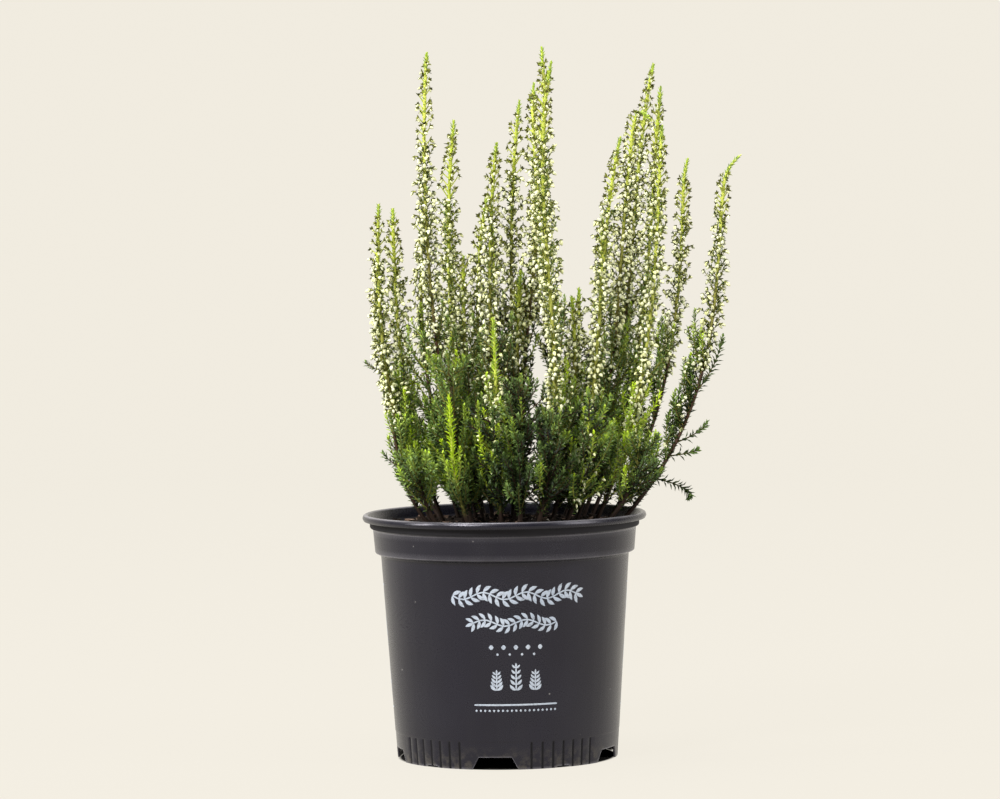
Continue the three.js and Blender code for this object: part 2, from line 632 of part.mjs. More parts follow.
// The side shoots of a stem, as root height, direction, rise and spread. Where the stem
// doesn't list them, they share the height under its buds.
function sideShoots(stem, number) {
  if (stem.twigs) {
    return stem.twigs;
  }
  const seed = DRAWS_PER_STEM * number;
  const top = stem.tip[2];
  const lowest = NEEDLES_START_Z + SHOOTS_START;
  const underBloom = top - (stem.bloom + SHOOTS_UNDER_BLOOM) * (top - STEM_FOOT_Z);
  const highest = Math.max(underBloom, lowest + SHOOTS_LEAST_HEIGHT);
  const scale = stem.shootScale ?? 1;
  return Array.from({ length: stem.shoots }, (_, k) => {
    const rootZ = THREE.MathUtils.lerp(lowest, highest, k / Math.max(stem.shoots - 1, 1));
    const rise = scale * (SHOOT_LEAST_RISE + SHOOT_RISE_VARIES * chance(seed + RISE_DRAW + k));
    const spread = scale * (SHOOT_LEAST_SPREAD + SHOOT_SPREAD_VARIES * chance(seed + SPREAD_DRAW + k));
    return [rootZ, shootAzimuth(stem, k, number), Math.min(rise, top - rootZ - SHOOT_BELOW_TIP), spread];
  });
}

// A whole stem with its side shoots.
function wholeStem(stem, number) {
  const seed = DRAWS_PER_STEM * number;
  let body = mainTwig(stem, seed);
  sideShoots(stem, number).forEach(([rootZ, turn, rise, spread], k) => {
    const shootSeed = seed + SHOOT_DRAW + DRAWS_PER_SHOOT * k;
    body = body.add(sideTwig(stem, rootZ, radians(turn), rise, spread, shootSeed));
  });
  return geometryOf(body);
}

function material(color, roughness) {
  return new THREE.MeshStandardMaterial({ color, roughness, metalness: 0 });
}

function named(name, geometry, look) {
  const mesh = new THREE.Mesh(geometry, look);
  mesh.name = name;
  return mesh;
}

const group = new THREE.Group();
group.add(named('pot', pot(), material(0x3c3a3e, 0.5)));
group.add(named('soil', soil(), material(0x33261d, 0.95)));
STEMS.forEach((stem, k) => {
  const look = stem.bloom > 0 ? material(0xb4bd7a, 0.8) : material(0x4f7a2d, 0.8);
  group.add(named(`stem_${stem.name}`, wholeStem(stem, k), look));
});

export default group;
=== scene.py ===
import math

import bpy
import numpy as np
from mathutils import Matrix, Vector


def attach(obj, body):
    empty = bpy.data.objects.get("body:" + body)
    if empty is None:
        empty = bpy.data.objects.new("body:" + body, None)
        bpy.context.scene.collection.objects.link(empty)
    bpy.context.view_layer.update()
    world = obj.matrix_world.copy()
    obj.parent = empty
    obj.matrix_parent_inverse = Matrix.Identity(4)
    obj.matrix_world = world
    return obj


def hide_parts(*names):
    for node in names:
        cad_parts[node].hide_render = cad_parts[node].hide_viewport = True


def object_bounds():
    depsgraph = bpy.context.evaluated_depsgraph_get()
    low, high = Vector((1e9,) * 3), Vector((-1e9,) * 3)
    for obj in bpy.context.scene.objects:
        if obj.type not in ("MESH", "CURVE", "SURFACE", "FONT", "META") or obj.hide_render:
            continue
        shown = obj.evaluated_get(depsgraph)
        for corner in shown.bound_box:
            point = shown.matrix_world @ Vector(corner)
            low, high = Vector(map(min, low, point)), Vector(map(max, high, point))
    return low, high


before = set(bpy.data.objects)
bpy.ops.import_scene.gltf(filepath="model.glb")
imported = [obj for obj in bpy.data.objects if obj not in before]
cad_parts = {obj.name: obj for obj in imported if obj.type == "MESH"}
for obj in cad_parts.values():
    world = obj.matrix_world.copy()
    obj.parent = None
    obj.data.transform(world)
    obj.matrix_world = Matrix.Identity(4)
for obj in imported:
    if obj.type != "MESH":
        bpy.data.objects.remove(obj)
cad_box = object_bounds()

# The pot
# A round nursery pot, injection-moulded in one piece from black recycled polypropylene
# 1.2 mm thick. It has a rolled lip, a stepped band under it, a straight cone, and a
# grooved foot with five ways out for water under a raised base.

MM = 0.001
LIP_TOP_Z = 112
BAND_TOP_Z = 105
BAND_FOOT_Z = 94.4
FOOT_RADIUS = 50.5
WALL_TOP_Z = 93.2
WALL_TOP_RADIUS = 56.7
WALL = 1.2
WALL_SLOPE = (WALL_TOP_RADIUS - FOOT_RADIUS) / WALL_TOP_Z
BASE_UNDERSIDE_Z = 5.8
BASE_TOP_Z = 7.3
SECTIONS = 5
NOTCH_AT = -6.5
NOTCH_HEIGHT = 5.6
NOTCH_HALF_DEG = (8.5, 11.9)
RELIEF_HEIGHT = 0.8
RELIEF_HALF_DEG = (3.4, 4.6)
GROOVES = 7
GROOVE_PITCH_DEG = 5.8
GROOVE_HALF_DEG = 0.9
GROOVE_DEPTH = 0.5
GROOVE_TOP_Z = 12.4
GROOVE_RUN_OUT = 0.9
FOOT_SET_IN = 0.14
PAD_RADIUS = 11
DRAIN_RING = 36.0
DRAIN_RADIUS = 4.0
DRAIN_ROWS = 7
DRAIN_COLUMNS = 8
DRAIN_REACH = 12
EDGE_LINE_WIDTH = 0.4
EDGE_LINE_ENDS_BEFORE = 20
UNDER_LIP_PAINTED_SHADE = 0.45
PAINTED_SHADE_Z = 107.2
PAINTED_SHADE_HALF_HEIGHT = 1.5
PAINTED_SHADE_ENDS_BEFORE = 30


def wall_radius(z):
    """The outer radius of the cone: the foot's radius and a slope times the height."""
    return FOOT_RADIUS + WALL_SLOPE * z


def rounded(corners, steps):
    """A line with eased corners, from rows of radius, height and cut. With a and b on the
    two sides of corner c, one cut away from it, its points are
    (1-t)^2 a + 2t(1-t) c + t^2 b. A cut of 0 keeps the corner."""
    table = np.asarray(corners, float)
    corner, cut = table[:, :2], table[:, 2:]
    side = np.diff(corner, axis=0)
    side /= np.linalg.norm(side, axis=1, keepdims=True)
    a = (corner - cut * np.vstack([side[:1], side]))[:, None]
    b = (corner + cut * np.vstack([side, side[-1:]]))[:, None]
    c = corner[:, None]
    t = np.linspace(0, 1, steps)[None, :, None]
    line = ((1 - t) ** 2 * a + 2 * t * (1 - t) * c + t ** 2 * b).reshape(-1, 2)
    fresh_start = np.append(True, np.linalg.norm(np.diff(line, axis=0), axis=1) > 1e-6)
    return line[fresh_start]


def grid_triangles(rows, columns):
    """Two triangles for each cell of a grid of rows that close round, as an array of
    (rows - 1, columns, 2, 3). Point (i, j) of the grid is number i columns + j."""
    i = np.arange(rows - 1)[:, None]
    j = np.arange(columns)[None, :]
    k = (j + 1) % columns
    a, b = i * columns + j, i * columns + k
    d, c = a + columns, b + columns
    return np.stack([np.stack([a, b, c], -1), np.stack([a, c, d], -1)], axis=2)


def closed_grid(rows, columns):
    """The triangles of a grid of rows that close round, with a fan at each end. The pole of
    the first row comes after the grid's own points, and the pole of the last row next."""
    ring = np.arange(columns)
    following = np.roll(ring, -1)
    count = rows * columns
    last = count - columns
    first_fan = np.stack([np.full(columns, count), following, ring], -1)
    last_fan = np.stack([np.full(columns, count + 1), ring + last, following + last], -1)
    return [grid_triangles(rows, columns), first_fan, last_fan]


def put_in_mesh(name, points, triangles, looks, layers=None, look_of=None, sharp_deg=50):
    """A named object from arrays: points in millimetres, the corners of each triangle,
    the finishes, a number per point for each named layer, and a finish per triangle. Its
    shading is smooth but for edges that turn by more than sharp_deg."""
    used, corner = np.unique(triangles, return_inverse=True)
    corner = corner.reshape(-1).astype(np.int32)
    mesh = bpy.data.meshes.new(name)
    mesh.vertices.add(len(used))
    mesh.vertices.foreach_set("co", (points[used] * MM).astype(np.float32).ravel())
    mesh.loops.add(len(corner))
    mesh.loops.foreach_set("vertex_index", corner)
    mesh.polygons.add(len(corner) // 3)
    mesh.polygons.foreach_set("loop_start", np.arange(0, len(corner), 3, dtype=np.int32))
    for look in looks:
        mesh.materials.append(look)
    if look_of is not None:
        mesh.polygons.foreach_set("material_index", look_of.astype(np.int32))
    mesh.update(calc_edges=True)
    mesh.polygons.foreach_set("use_smooth", np.ones(len(mesh.polygons), bool))
    for layer, numbers in (layers or {}).items():
        held = mesh.attributes.new(layer, "FLOAT", "POINT")
        held.data.foreach_set("value", numbers[used].astype(np.float32))
    mesh.set_sharp_from_angle(angle=math.radians(sharp_deg))
    made = bpy.data.objects.new(name, mesh)
    bpy.context.scene.collection.objects.link(made)
    return made


def node(tree, kind, inputs=None, **settings):
    """A shader node with its settings, and its inputs set or linked by name or number."""
    made = tree.nodes.new(kind)
    for key, value in settings.items():
        setattr(made, key, value)
    for key, value in (inputs or {}).items():
        if isinstance(value, bpy.types.NodeSocket):
            tree.links.new(value, made.inputs[key])
        else:
            made.inputs[key].default_value = value
    return made


def noise(tree, place, scale, detail=2.0, squeeze=None):
    """Cloudy noise from 0 to 1. Its patches are about 1 / scale metres across, and longer
    where squeeze multiplies an axis by less than 1."""
    if squeeze is not None:
        place = node(tree, "ShaderNodeMapping", {"Vector": place, "Scale": squeeze}).outputs[0]
    inputs = {"Vector": place, "Scale": scale, "Detail": detail}
    return node(tree, "ShaderNodeTexNoise", inputs).outputs["Fac"]


def between(tree, value, low, high, to_low=0.0, to_high=1.0):
    """A value brought from the range low..high to the range to_low..to_high, and held."""
    inputs = {0: value, 1: low, 2: high, 3: to_low, 4: to_high}
    return node(tree, "ShaderNodeMapRange", inputs).outputs[0]


def mixed(tree, share, first, second):
    """The first colour where share is 0, the second where it is 1."""
    inputs = {0: share, 6: first, 7: second}
    return node(tree, "ShaderNodeMix", inputs, data_type="RGBA").outputs[2]


def arithmetic(tree, operation, first, second):
    """The sum, product or other operation of two values."""
    return node(tree, "ShaderNodeMath", {0: first, 1: second}, operation=operation).outputs[0]


def layer_value(tree, layer):
    """The number that each point of the piece holds in a named layer."""
    return node(tree, "ShaderNodeAttribute", attribute_name=layer).outputs["Fac"]


def bumped(tree, height, depth):
    """A surface normal from a height of 0 to 1 that stands for a depth in metres."""
    inputs = {"Height": height, "Distance": depth, "Strength": 1.0}
    return node(tree, "ShaderNodeBump", inputs).outputs["Normal"]


def coated(tree, shader, colour, relief, depth):
    """Gives a shader its colour, and a relief of 0 to 1 that stands for a depth in metres."""
    tree.links.new(colour, shader.inputs["Base Color"])
    tree.links.new(bumped(tree, relief, depth), shader.inputs["Normal"])


def finish_of(name, **shader):
    """A material with one Principled shader, whose plain numbers are set on its sockets."""
    look = bpy.data.materials.new(name)
    look.use_nodes = True
    principled = look.node_tree.nodes["Principled BSDF"]
    for key, value in shader.items():
        principled.inputs[key.replace("_", " ")].default_value = value
    place = node(look.node_tree, "ShaderNodeTexCoord").outputs["Object"]
    return look, look.node_tree, principled, place


# The columns of the pot's grid fall on the edges of its notches and grooves.
notch_side = np.array([14.5, 12.15, 11.9, 10.2, 8.5, 8.25, 5.5, 2.75])
notch_columns = np.concatenate([-notch_side, [0.0], notch_side[::-1]])
groove_columns = np.array([-2.9, -0.9, -0.6, -0.3, 0.0, 0.3, 0.6, 0.9])
midway = 180.0 / SECTIONS
groove_centres = midway + GROOVE_PITCH_DEG * (np.arange(GROOVES) - (GROOVES - 1) / 2)
section_columns = np.concatenate(
    [notch_columns, (groove_centres[:, None] + groove_columns[None, :]).ravel()]
)
section_turns = 2 * midway * np.arange(SECTIONS)
from_notch = np.tile(section_columns, SECTIONS)
column_deg = NOTCH_AT + (section_turns[:, None] + section_columns[None, :]).ravel()
column_angle = np.radians(column_deg)

# The rows of the pot's grid: under the base, down the inside of the skirt, up the outside
# to the lip, down the inside, and over the base. Each is a radius and a height.
drain_rows = DRAIN_RING + np.linspace(-6.0, 6.0, DRAIN_ROWS)
pad_corners = [
    (3, 0, 0), (PAD_RADIUS, 0, 0.5), (PAD_RADIUS, BASE_UNDERSIDE_Z, 0.8), (16, BASE_UNDERSIDE_Z, 0)
]
under_drains = np.column_stack([drain_rows, np.full(DRAIN_ROWS, BASE_UNDERSIDE_Z)])
under_base = np.vstack([rounded(pad_corners, 3), under_drains])
inside_skirt = rounded(
    [
        (45.5, BASE_UNDERSIDE_Z, 0), (wall_radius(BASE_UNDERSIDE_Z) - WALL, BASE_UNDERSIDE_Z, 0.9),
        (FOOT_RADIUS - WALL, 0, 0.25), (FOOT_RADIUS, 0, 0.3), (wall_radius(1.2), 1.2, 0),
    ],
    4,
)
groove_heights = np.array([3, 5, 7, 9, 10.6, 11.2, 11.6, 11.9, 12.15, 12.4, 12.7, 13.4])
outside_foot = np.column_stack([wall_radius(groove_heights), groove_heights])
# The cone, the band with its two ridges, the roll of the lip, and down the inside.
outside_top = rounded(
    [
        (wall_radius(36), 36, 0), (wall_radius(68), 68, 0), (wall_radius(90.5), 90.5, 0),
        (WALL_TOP_RADIUS, WALL_TOP_Z, 0.5), (59.3, BAND_FOOT_Z, 0.45), (59.53, 97.2, 0),
        (59.97, 102.3, 0), (60.2, BAND_TOP_Z, 0.5), (61.6, 105.9, 0.45), (61.7, 108.6, 0.5),
        (64.3, 108.8, 0.3), (65, 110.1, 0.5), (64.5, 111.5, 0.4), (63.6, LIP_TOP_Z, 0.4),
        (62.4, 111.6, 0.5), (60.5, 108.4, 0.8), (59.0, 104.6, 0.8), (58.1, 94.8, 0.5),
        (55.5, 92.8, 0.5), (51.4, 30, 0), (wall_radius(BASE_TOP_Z) - WALL, BASE_TOP_Z, 1.2),
        (45.5, BASE_TOP_Z, 0),
    ],
    4,
)
over_drains = np.column_stack([drain_rows[::-1], np.full(DRAIN_ROWS, BASE_TOP_Z)])
over_base = np.vstack([over_drains, [(16, BASE_TOP_Z), (3, BASE_TOP_Z)]])
profile = np.vstack([under_base, inside_skirt, outside_foot, outside_top, over_base])
rows, columns = len(profile), len(column_deg)
row_radius, row_z = profile[:, 0], profile[:, 1]

# Where the skirt is notched, its bottom edge rises and its rows are squeezed above it.
edge_rise = np.interp(np.abs(from_notch), NOTCH_HALF_DEG, [NOTCH_HEIGHT, 0])
edge_rise += np.interp(np.abs(from_notch - midway), RELIEF_HALF_DEG, [RELIEF_HEIGHT, 0])
row_number = np.arange(rows)
skirt_start = len(under_base)
skirt_turn = skirt_start + int(np.argmin(inside_skirt[:, 1]))
foot_end = skirt_start + len(inside_skirt) + len(outside_foot)
squeeze_top = np.where(row_number <= skirt_turn, BASE_UNDERSIDE_Z, groove_heights[-1])
in_skirt = (row_number >= skirt_start) & (row_number < foot_end)
row_lift = np.where(in_skirt, np.clip(1 - row_z / squeeze_top, 0, 1), 0)
pot_z = row_z[:, None] + row_lift[:, None] * edge_rise[None, :]
pot_radius = row_radius[:, None] + WALL_SLOPE * row_lift[:, None] * edge_rise[None, :]

# Each groove is a raised-cosine furrow that runs out under the top of the foot.
from_groove = np.abs(from_notch[:, None] - groove_centres[None, :]).min(axis=1)
furrow = np.cos(np.pi / 2 * np.clip(from_groove / GROOVE_HALF_DEG, 0, 1)) ** 2
is_outer = ((row_number > skirt_turn + 2) & (row_number < foot_end))[:, None]
run_out = np.clip((GROOVE_TOP_Z - pot_z) / GROOVE_RUN_OUT, 0, 1) ** 0.5
set_in = np.clip((GROOVE_TOP_Z + 0.5 - pot_z) / 0.6, 0, 1)
pot_radius -= is_outer * (GROOVE_DEPTH * furrow[None, :] * run_out + FOOT_SET_IN * set_in)

pot_x = pot_radius * np.sin(column_angle)[None, :]
pot_y = -pot_radius * np.cos(column_angle)[None, :]

# The drain holes: round each one the grid is drawn from its own squares to a circle, the
# cells inside are left out, and a wall joins the two faces of the base.
grid, first_fan, last_fan = closed_grid(rows, columns)
whole = np.ones((rows - 1, columns), bool)
lower_row = len(under_base) - DRAIN_ROWS
upper_row = rows - len(over_base)
middle_groove = len(notch_columns) + GROOVES // 2 * len(groove_columns)
middle_groove += int(np.argmin(np.abs(groove_columns)))
half_rows = DRAIN_ROWS // 2
rim = DRAIN_COLUMNS / DRAIN_REACH
along_rim, up_rim = np.arange(-DRAIN_COLUMNS, DRAIN_COLUMNS), np.arange(1, DRAIN_ROWS - 2)
along_one, up_one = np.ones_like(along_rim), np.ones_like(up_rim)
steps_row = np.concatenate([along_one, up_rim, (DRAIN_ROWS - 2) * along_one, up_rim[::-1] + 1])
steps_column = np.concatenate(
    [along_rim, DRAIN_COLUMNS * up_one, -along_rim, -DRAIN_COLUMNS * up_one]
)
hole_walls = []
for section in range(SECTIONS):
    middle = section * len(section_columns) + middle_groove
    around = np.arange(middle - DRAIN_REACH, middle + DRAIN_REACH + 1)
    centre_angle = column_angle[middle]
    across = (around - middle)[None, :] / DRAIN_REACH
    for first_row, step in ((lower_row, 1), (upper_row, -1)):
        band = first_row + np.arange(DRAIN_ROWS)
        outwards = step * (np.arange(DRAIN_ROWS) - half_rows)[:, None] / half_rows
        ring = np.maximum(np.abs(across), np.abs(outwards))
        share = np.clip((1 - ring) / (1 - rim), 0, 1)
        turn = np.arctan2(outwards, across)
        out = DRAIN_RING + DRAIN_RADIUS * np.sin(turn)
        aside = DRAIN_RADIUS * np.cos(turn)
        hole_x = out * np.sin(centre_angle) + aside * np.cos(centre_angle)
        hole_y = -out * np.cos(centre_angle) + aside * np.sin(centre_angle)
        block = np.ix_(band, around)
        pot_x[block] += share * (hole_x - pot_x[block])
        pot_y[block] += share * (hole_y - pot_y[block])
        inside_rim = slice(middle - DRAIN_COLUMNS, middle + DRAIN_COLUMNS)
        whole[first_row + 1:first_row + DRAIN_ROWS - 2, inside_rim] = False
    low = (lower_row + steps_row) * columns + middle + steps_column
    high = (upper_row + DRAIN_ROWS - 1 - steps_row) * columns + middle + steps_column
    low_next, high_next = np.roll(low, -1), np.roll(high, -1)
    hole_walls.append(np.stack([low, high, high_next], -1))
    hole_walls.append(np.stack([low, high_next, low_next], -1))

pot_points = np.stack([pot_x, pot_y, np.broadcast_to(pot_z, pot_x.shape)], -1).reshape(-1, 3)
pot_points = np.vstack([pot_points, [(0, 0, 0), (0, 0, BASE_TOP_Z)]])
pot_triangles = np.vstack([grid[whole].reshape(-1, 3), first_fan, last_fan, *hole_walls])

# How far an outer edge is worn and lightened as a painted highlight line: most on the lip, the
# band's two ridges and the foot's edge.
# The last rows of the grid lie inside the pot, where nothing rubs it.
ridge_z = np.array([0.0, BAND_FOOT_Z, BAND_TOP_Z, LIP_TOP_Z - 0.2])
from_ridge = np.abs(row_z[:, None] - ridge_z[None, :]).min(axis=1)
edge_wear_and_highlight_row = np.exp(-(from_ridge / EDGE_LINE_WIDTH) ** 2)
edge_wear_and_highlight_row *= (row_number > skirt_turn) & (row_number < rows - EDGE_LINE_ENDS_BEFORE)
edge_wear_and_highlight = np.append(np.repeat(edge_wear_and_highlight_row, columns), [0, 0])

# How far a point lies in a groove of the skirt, or under the lip: painted shade that darkens these
# recesses.
sunk = is_outer * furrow[None, :] * run_out
under_lip = np.abs(row_z - PAINTED_SHADE_Z) < PAINTED_SHADE_HALF_HEIGHT
under_lip &= (row_number > skirt_turn) & (row_number < rows - PAINTED_SHADE_ENDS_BEFORE)
sunk = np.append((sunk + UNDER_LIP_PAINTED_SHADE * under_lip[:, None]).ravel(), [0, 0])

plastic, tree, shader, place = finish_of(
    "moulded_black_plastic", Specular_IOR_Level=0.41, Roughness=0.3,
    Specular_Tint=(0.96, 0.92, 1.0, 1),
)
flow = noise(tree, place, 70.0, 3.0, (1.0, 1.0, 0.12))
grain = noise(tree, place, 2600.0, 2.0)
cloud = noise(tree, place, 28.0, 4.0)
charcoal = mixed(
    tree, between(tree, cloud, 0.35, 0.65), (0.0050, 0.0048, 0.0105, 1), (0.0095, 0.0090, 0.0165, 1)
)
charcoal = mixed(tree, between(tree, flow, 0.3, 0.75, 0.0, 0.6), charcoal, (0.013, 0.013, 0.018, 1))
patchy = between(tree, cloud, 0.3, 0.7, 0.35, 1.0)
wear_and_highlight_share = arithmetic(tree, "MULTIPLY", layer_value(tree, "edge_wear_and_highlight"), patchy)
# Painted highlight, with real wear: the worn edges are lightened into thin bright lines along the
# ridges and lip.
charcoal = mixed(tree, wear_and_highlight_share, charcoal, (0.23, 0.22, 0.24, 1))
height_up = node(tree, "ShaderNodeSeparateXYZ", {0: place}).outputs["Z"]
near_floor = between(tree, height_up, 0.0, 0.011, 0.55, 0.0)
dusty = between(tree, noise(tree, place, 320.0, 4.0), 0.45, 0.7)
low_dust = arithmetic(tree, "MULTIPLY", near_floor, dusty)
charcoal = mixed(tree, low_dust, charcoal, (0.13, 0.115, 0.085, 1))
specks = node(tree, "ShaderNodeTexVoronoi", {"Vector": place, "Scale": 150.0}, feature="F1")
speck_here = between(tree, specks.outputs["Distance"], 0.03, 0.07, 1.0, 0.0)
speck_odds = node(tree, "ShaderNodeSeparateColor", {0: specks.outputs["Color"]}).outputs[0]
speck_here = arithmetic(tree, "MULTIPLY", speck_here, between(tree, speck_odds, 0.80, 0.82))
charcoal = mixed(tree, speck_here, charcoal, (0.33, 0.31, 0.29, 1))
# Painted shade: the grooves and the hollow under the lip are darkened toward black.
painted_recess_shade = between(tree, layer_value(tree, "sunk"), 0.0, 0.5)
charcoal = mixed(tree, painted_recess_shade, charcoal, (0.0016, 0.0016, 0.0018, 1))
dull = between(tree, grain, 0.3, 0.7, 0.22, 0.31)
dull = arithmetic(tree, "ADD", dull, between(tree, cloud, 0.3, 0.7, -0.04, 0.05))
dull = arithmetic(tree, "ADD", dull, between(tree, layer_value(tree, "sunk"), 0.0, 0.4, 0.0, 0.5))
tree.links.new(dull, shader.inputs["Roughness"])
texture_height = arithmetic(tree, "ADD", grain, arithmetic(tree, "MULTIPLY", flow, 2.0))
coated(tree, shader, charcoal, texture_height, 0.00003)

pot = put_in_mesh("pot_shell", pot_points, pot_triangles, [plastic], {"edge_wear_and_highlight": edge_wear_and_highlight, "sunk": sunk})
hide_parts("pot")
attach(pot, "root")

# The print on the pot
# A screen-printed ornament in pale grey ink, a few hundredths of a millimetre thick: two
# waving garlands, dots, three upright sprigs and a thin rule. It stands on the cone.

INK_THICKNESS = 0.06
PRINT_RADIUS = 55.0
STALK_HALF = 0.33
LEAF_HALF = 0.19
LEAF_FULLNESS = 1.8
LEAF_STATIONS = 8
GARLAND_SLANT = 50.0
FRONT_TURN = 4.5


def printed_marks(start, heading, length, half_width, bend, fullness, stations, turn_deg):
    """Flat marks wrapped on the cone. Along each mark u goes from 0 to 1, its middle is
    start + u length in its heading, drawn aside by bend 4u(1-u), and its half width is
    half_width (1 - |2u - 1|^fullness). Round it, four points make a thin closed lens."""
    u = (1 - np.cos(np.pi * np.linspace(0, 1, stations))) / 2
    ahead = np.stack([np.cos(heading), np.sin(heading)], -1)[:, None]
    aside = np.stack([-np.sin(heading), np.cos(heading)], -1)[:, None]
    arch = (4 * u * (1 - u))[None, :, None]
    middle = start[:, None] + length[:, None, None] * u[None, :, None] * ahead
    middle = middle + bend[:, None, None] * arch * aside
    drift = bend[:, None] * 4 * (1 - 2 * u)[None, :]
    tangent = length[:, None, None] * ahead + drift[..., None] * aside
    tangent /= np.linalg.norm(tangent, axis=-1, keepdims=True)
    normal = np.stack([-tangent[..., 1], tangent[..., 0]], -1)
    width = half_width[:, None] * (1 - np.abs(2 * u - 1)[None, :] ** fullness)
    round_deg = np.radians(90 * np.arange(4))
    spread = width[..., None] * np.cos(round_deg)
    flat = middle[:, :, None] + spread[..., None] * normal[:, :, None]
    lift = np.where(width[..., None] > 0, INK_THICKNESS * np.sin(round_deg), 0)
    angle = flat[..., 0] / PRINT_RADIUS + math.radians(turn_deg)
    radius = wall_radius(flat[..., 1]) + lift
    points = np.stack([radius * np.sin(angle), -radius * np.cos(angle), flat[..., 1]], -1)
    inner = points[:, 1:-1].reshape(len(start), -1, 3)
    ends = points[:, [0, -1], 0]
    shape = np.concatenate([inner, ends], axis=1)
    one = np.vstack([part.reshape(-1, 3) for part in closed_grid(stations - 2, 4)])
    shift = shape.shape[1] * np.arange(len(start))[:, None, None]
    return shape.reshape(-1, 3), (one[None] + shift).reshape(-1, 3)


def leafy_line(stalk, size, slant_deg, turn_deg):
    """A stalk through given points, with a leaf on each side of every point. Each leaf
    leaves the stalk's heading there at the slant, and has that point's size."""
    hop = np.diff(stalk, axis=0)
    heading = np.arctan2(hop[:, 1], hop[:, 0])
    length = np.linalg.norm(hop, axis=1)
    many = np.ones(len(hop))
    marks = [
        printed_marks(stalk[:-1], heading, 1.04 * length, STALK_HALF * many, 0 * many,
                      fullness=30, stations=6, turn_deg=turn_deg)
    ]
    at = np.append(heading, heading[-1])
    half = LEAF_HALF * size
    for flip in (1, -1):
        lean = at + flip * math.radians(slant_deg)
        bend = 0.1 * flip * size
        marks.append(
            printed_marks(stalk, lean, size, half, bend, LEAF_FULLNESS, LEAF_STATIONS, turn_deg)
        )
    last = slice(-1, None)
    marks.append(
        printed_marks(stalk[last], at[last], size[last], half[last], 0 * half[last],
                      LEAF_FULLNESS, LEAF_STATIONS, turn_deg)
    )
    return marks


def thin_rule(half_length, z, half_width, turn_deg):
    """One long mark at a height, of even width but for its very ends."""
    one = np.ones(1)
    return printed_marks(np.array([[-half_length, z]]), 0 * one, 2 * half_length * one,
                         half_width * one, 0 * one, fullness=60, stations=48, turn_deg=turn_deg)


def row_of_dots(count, gap, z, radius, turn_deg):
    """Marks as wide as they are long, at one height and even gaps."""
    s = gap * (np.arange(count) - (count - 1) / 2) - radius
    one = np.ones(count)
    return printed_marks(np.column_stack([s, z * one]), 0 * one, 2 * radius * one, radius * one,
                         0 * one, fullness=2.0, stations=9, turn_deg=turn_deg)


marks = []
for half_length, z, wave, bends, leaves, size in (
    (28.5, 78.6, 1.7, 3, 21, 4.6), (-19.0, 66.4, -1.5, 2, 15, 4.2)
):
    along = np.linspace(-1, 1, leaves)
    garland = np.column_stack([half_length * along, z + wave * np.sin(bends * np.pi * along)])
    marks += leafy_line(garland, np.full(leaves, size), GARLAND_SLANT, FRONT_TURN)
for aside, tall in ((-9.0, 7.0), (0.0, 10.0), (9.0, 7.0)):
    sprig = np.column_stack([np.full(5, aside), np.linspace(36.0, 36.0 + tall, 5)])
    marks += leafy_line(sprig, np.linspace(3.9, 2.4, 5), 48.0, FRONT_TURN)
marks.append(row_of_dots(5, 5.6, 55.4, 1.1, FRONT_TURN))
marks.append(row_of_dots(4, 5.6, 52.2, 0.6, FRONT_TURN))
marks.append(thin_rule(20.0, 29.4, 0.4, FRONT_TURN))
marks.append(row_of_dots(19, 2.1, 26.8, 0.55, FRONT_TURN))
for turn in (92.0, 180.0, 268.0):
    marks.append(thin_rule(9.0, 80.0, 0.35, turn))
    marks.append(thin_rule(9.0, 24.0, 0.35, turn))
    along = np.linspace(-1, 1, 21)
    vine = np.column_stack([3.0 * np.sin(2 * np.pi * along), 52.0 + 23.0 * along])
    marks += leafy_line(vine, np.full(21, 4.6), GARLAND_SLANT, turn)


def joined(parts):
    """Several (points, triangles) as one, each part's point numbers moved past the last."""
    starts = np.cumsum([0] + [len(part[0]) for part in parts])
    triangles = np.vstack([part[1] + start for part, start in zip(parts, starts)])
    return np.vstack([part[0] for part in parts]), triangles


ink_points, ink_triangles = joined(marks)

ink, tree, shader, place = finish_of("pale_ink", Specular_IOR_Level=0.4, Roughness=0.55)
rubbed = between(tree, noise(tree, place, 900.0, 4.0), 0.52, 0.72, 0.0, 0.55)
thin = between(tree, noise(tree, place, 60.0, 3.0), 0.3, 0.7, 0.0, 1.0)
pale = mixed(tree, thin, (0.47, 0.53, 0.62, 1), (0.60, 0.65, 0.72, 1))
pale = mixed(tree, rubbed, pale, (0.16, 0.17, 0.19, 1))
coated(tree, shader, pale, noise(tree, place, 2600.0), 0.00002)

print_piece = put_in_mesh("pot_print", ink_points, ink_triangles, [ink])
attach(print_piece, "root")

# The peat
# Dark damp peat that fills the pot to a little under the lip and mounds at the crown, with
# loose crumbs, chips of bark and a few pale grains lying on it.

SOIL_EDGE_Z = 104.6
SOIL_EDGE_RADIUS = 57.9
SOIL_MOUND = 4.0
SOIL_LUMP = 0.7
SOIL_FLOOR_Z = BASE_TOP_Z + 0.3
STREWN_RADIUS = 56.2
STREWN_EDGE = 57.2


def soil_height(x, y):
    """The peat's height: level at the wall, a mound that rises as the square root of the
    way in from it, and lumps from two products of slow waves."""
    edge = FOOT_RADIUS - WALL + WALL_SLOPE * SOIL_EDGE_Z
    inward = np.clip(1 - np.hypot(x, y) / edge, 0, 1)
    lumps = np.sin(0.31 * x + 1.3) * np.cos(0.27 * y) + np.sin(0.17 * y - 0.23 * x)
    return SOIL_EDGE_Z + SOIL_MOUND * np.sqrt(inward) + SOIL_LUMP * lumps


def rough_field(rng, x, y, waves, longest, shortest, height):
    """Irregular ground: a sum of waves in random directions, each with a height in
    proportion to its length."""
    length = np.geomspace(longest, shortest, waves)
    heading, phase = rng.uniform(0, 2 * np.pi, (2, waves))
    run = x[..., None] * np.cos(heading) + y[..., None] * np.sin(heading)
    swell = np.sin(2 * np.pi * run / length + phase) * length / longest
    return height * swell.sum(-1)


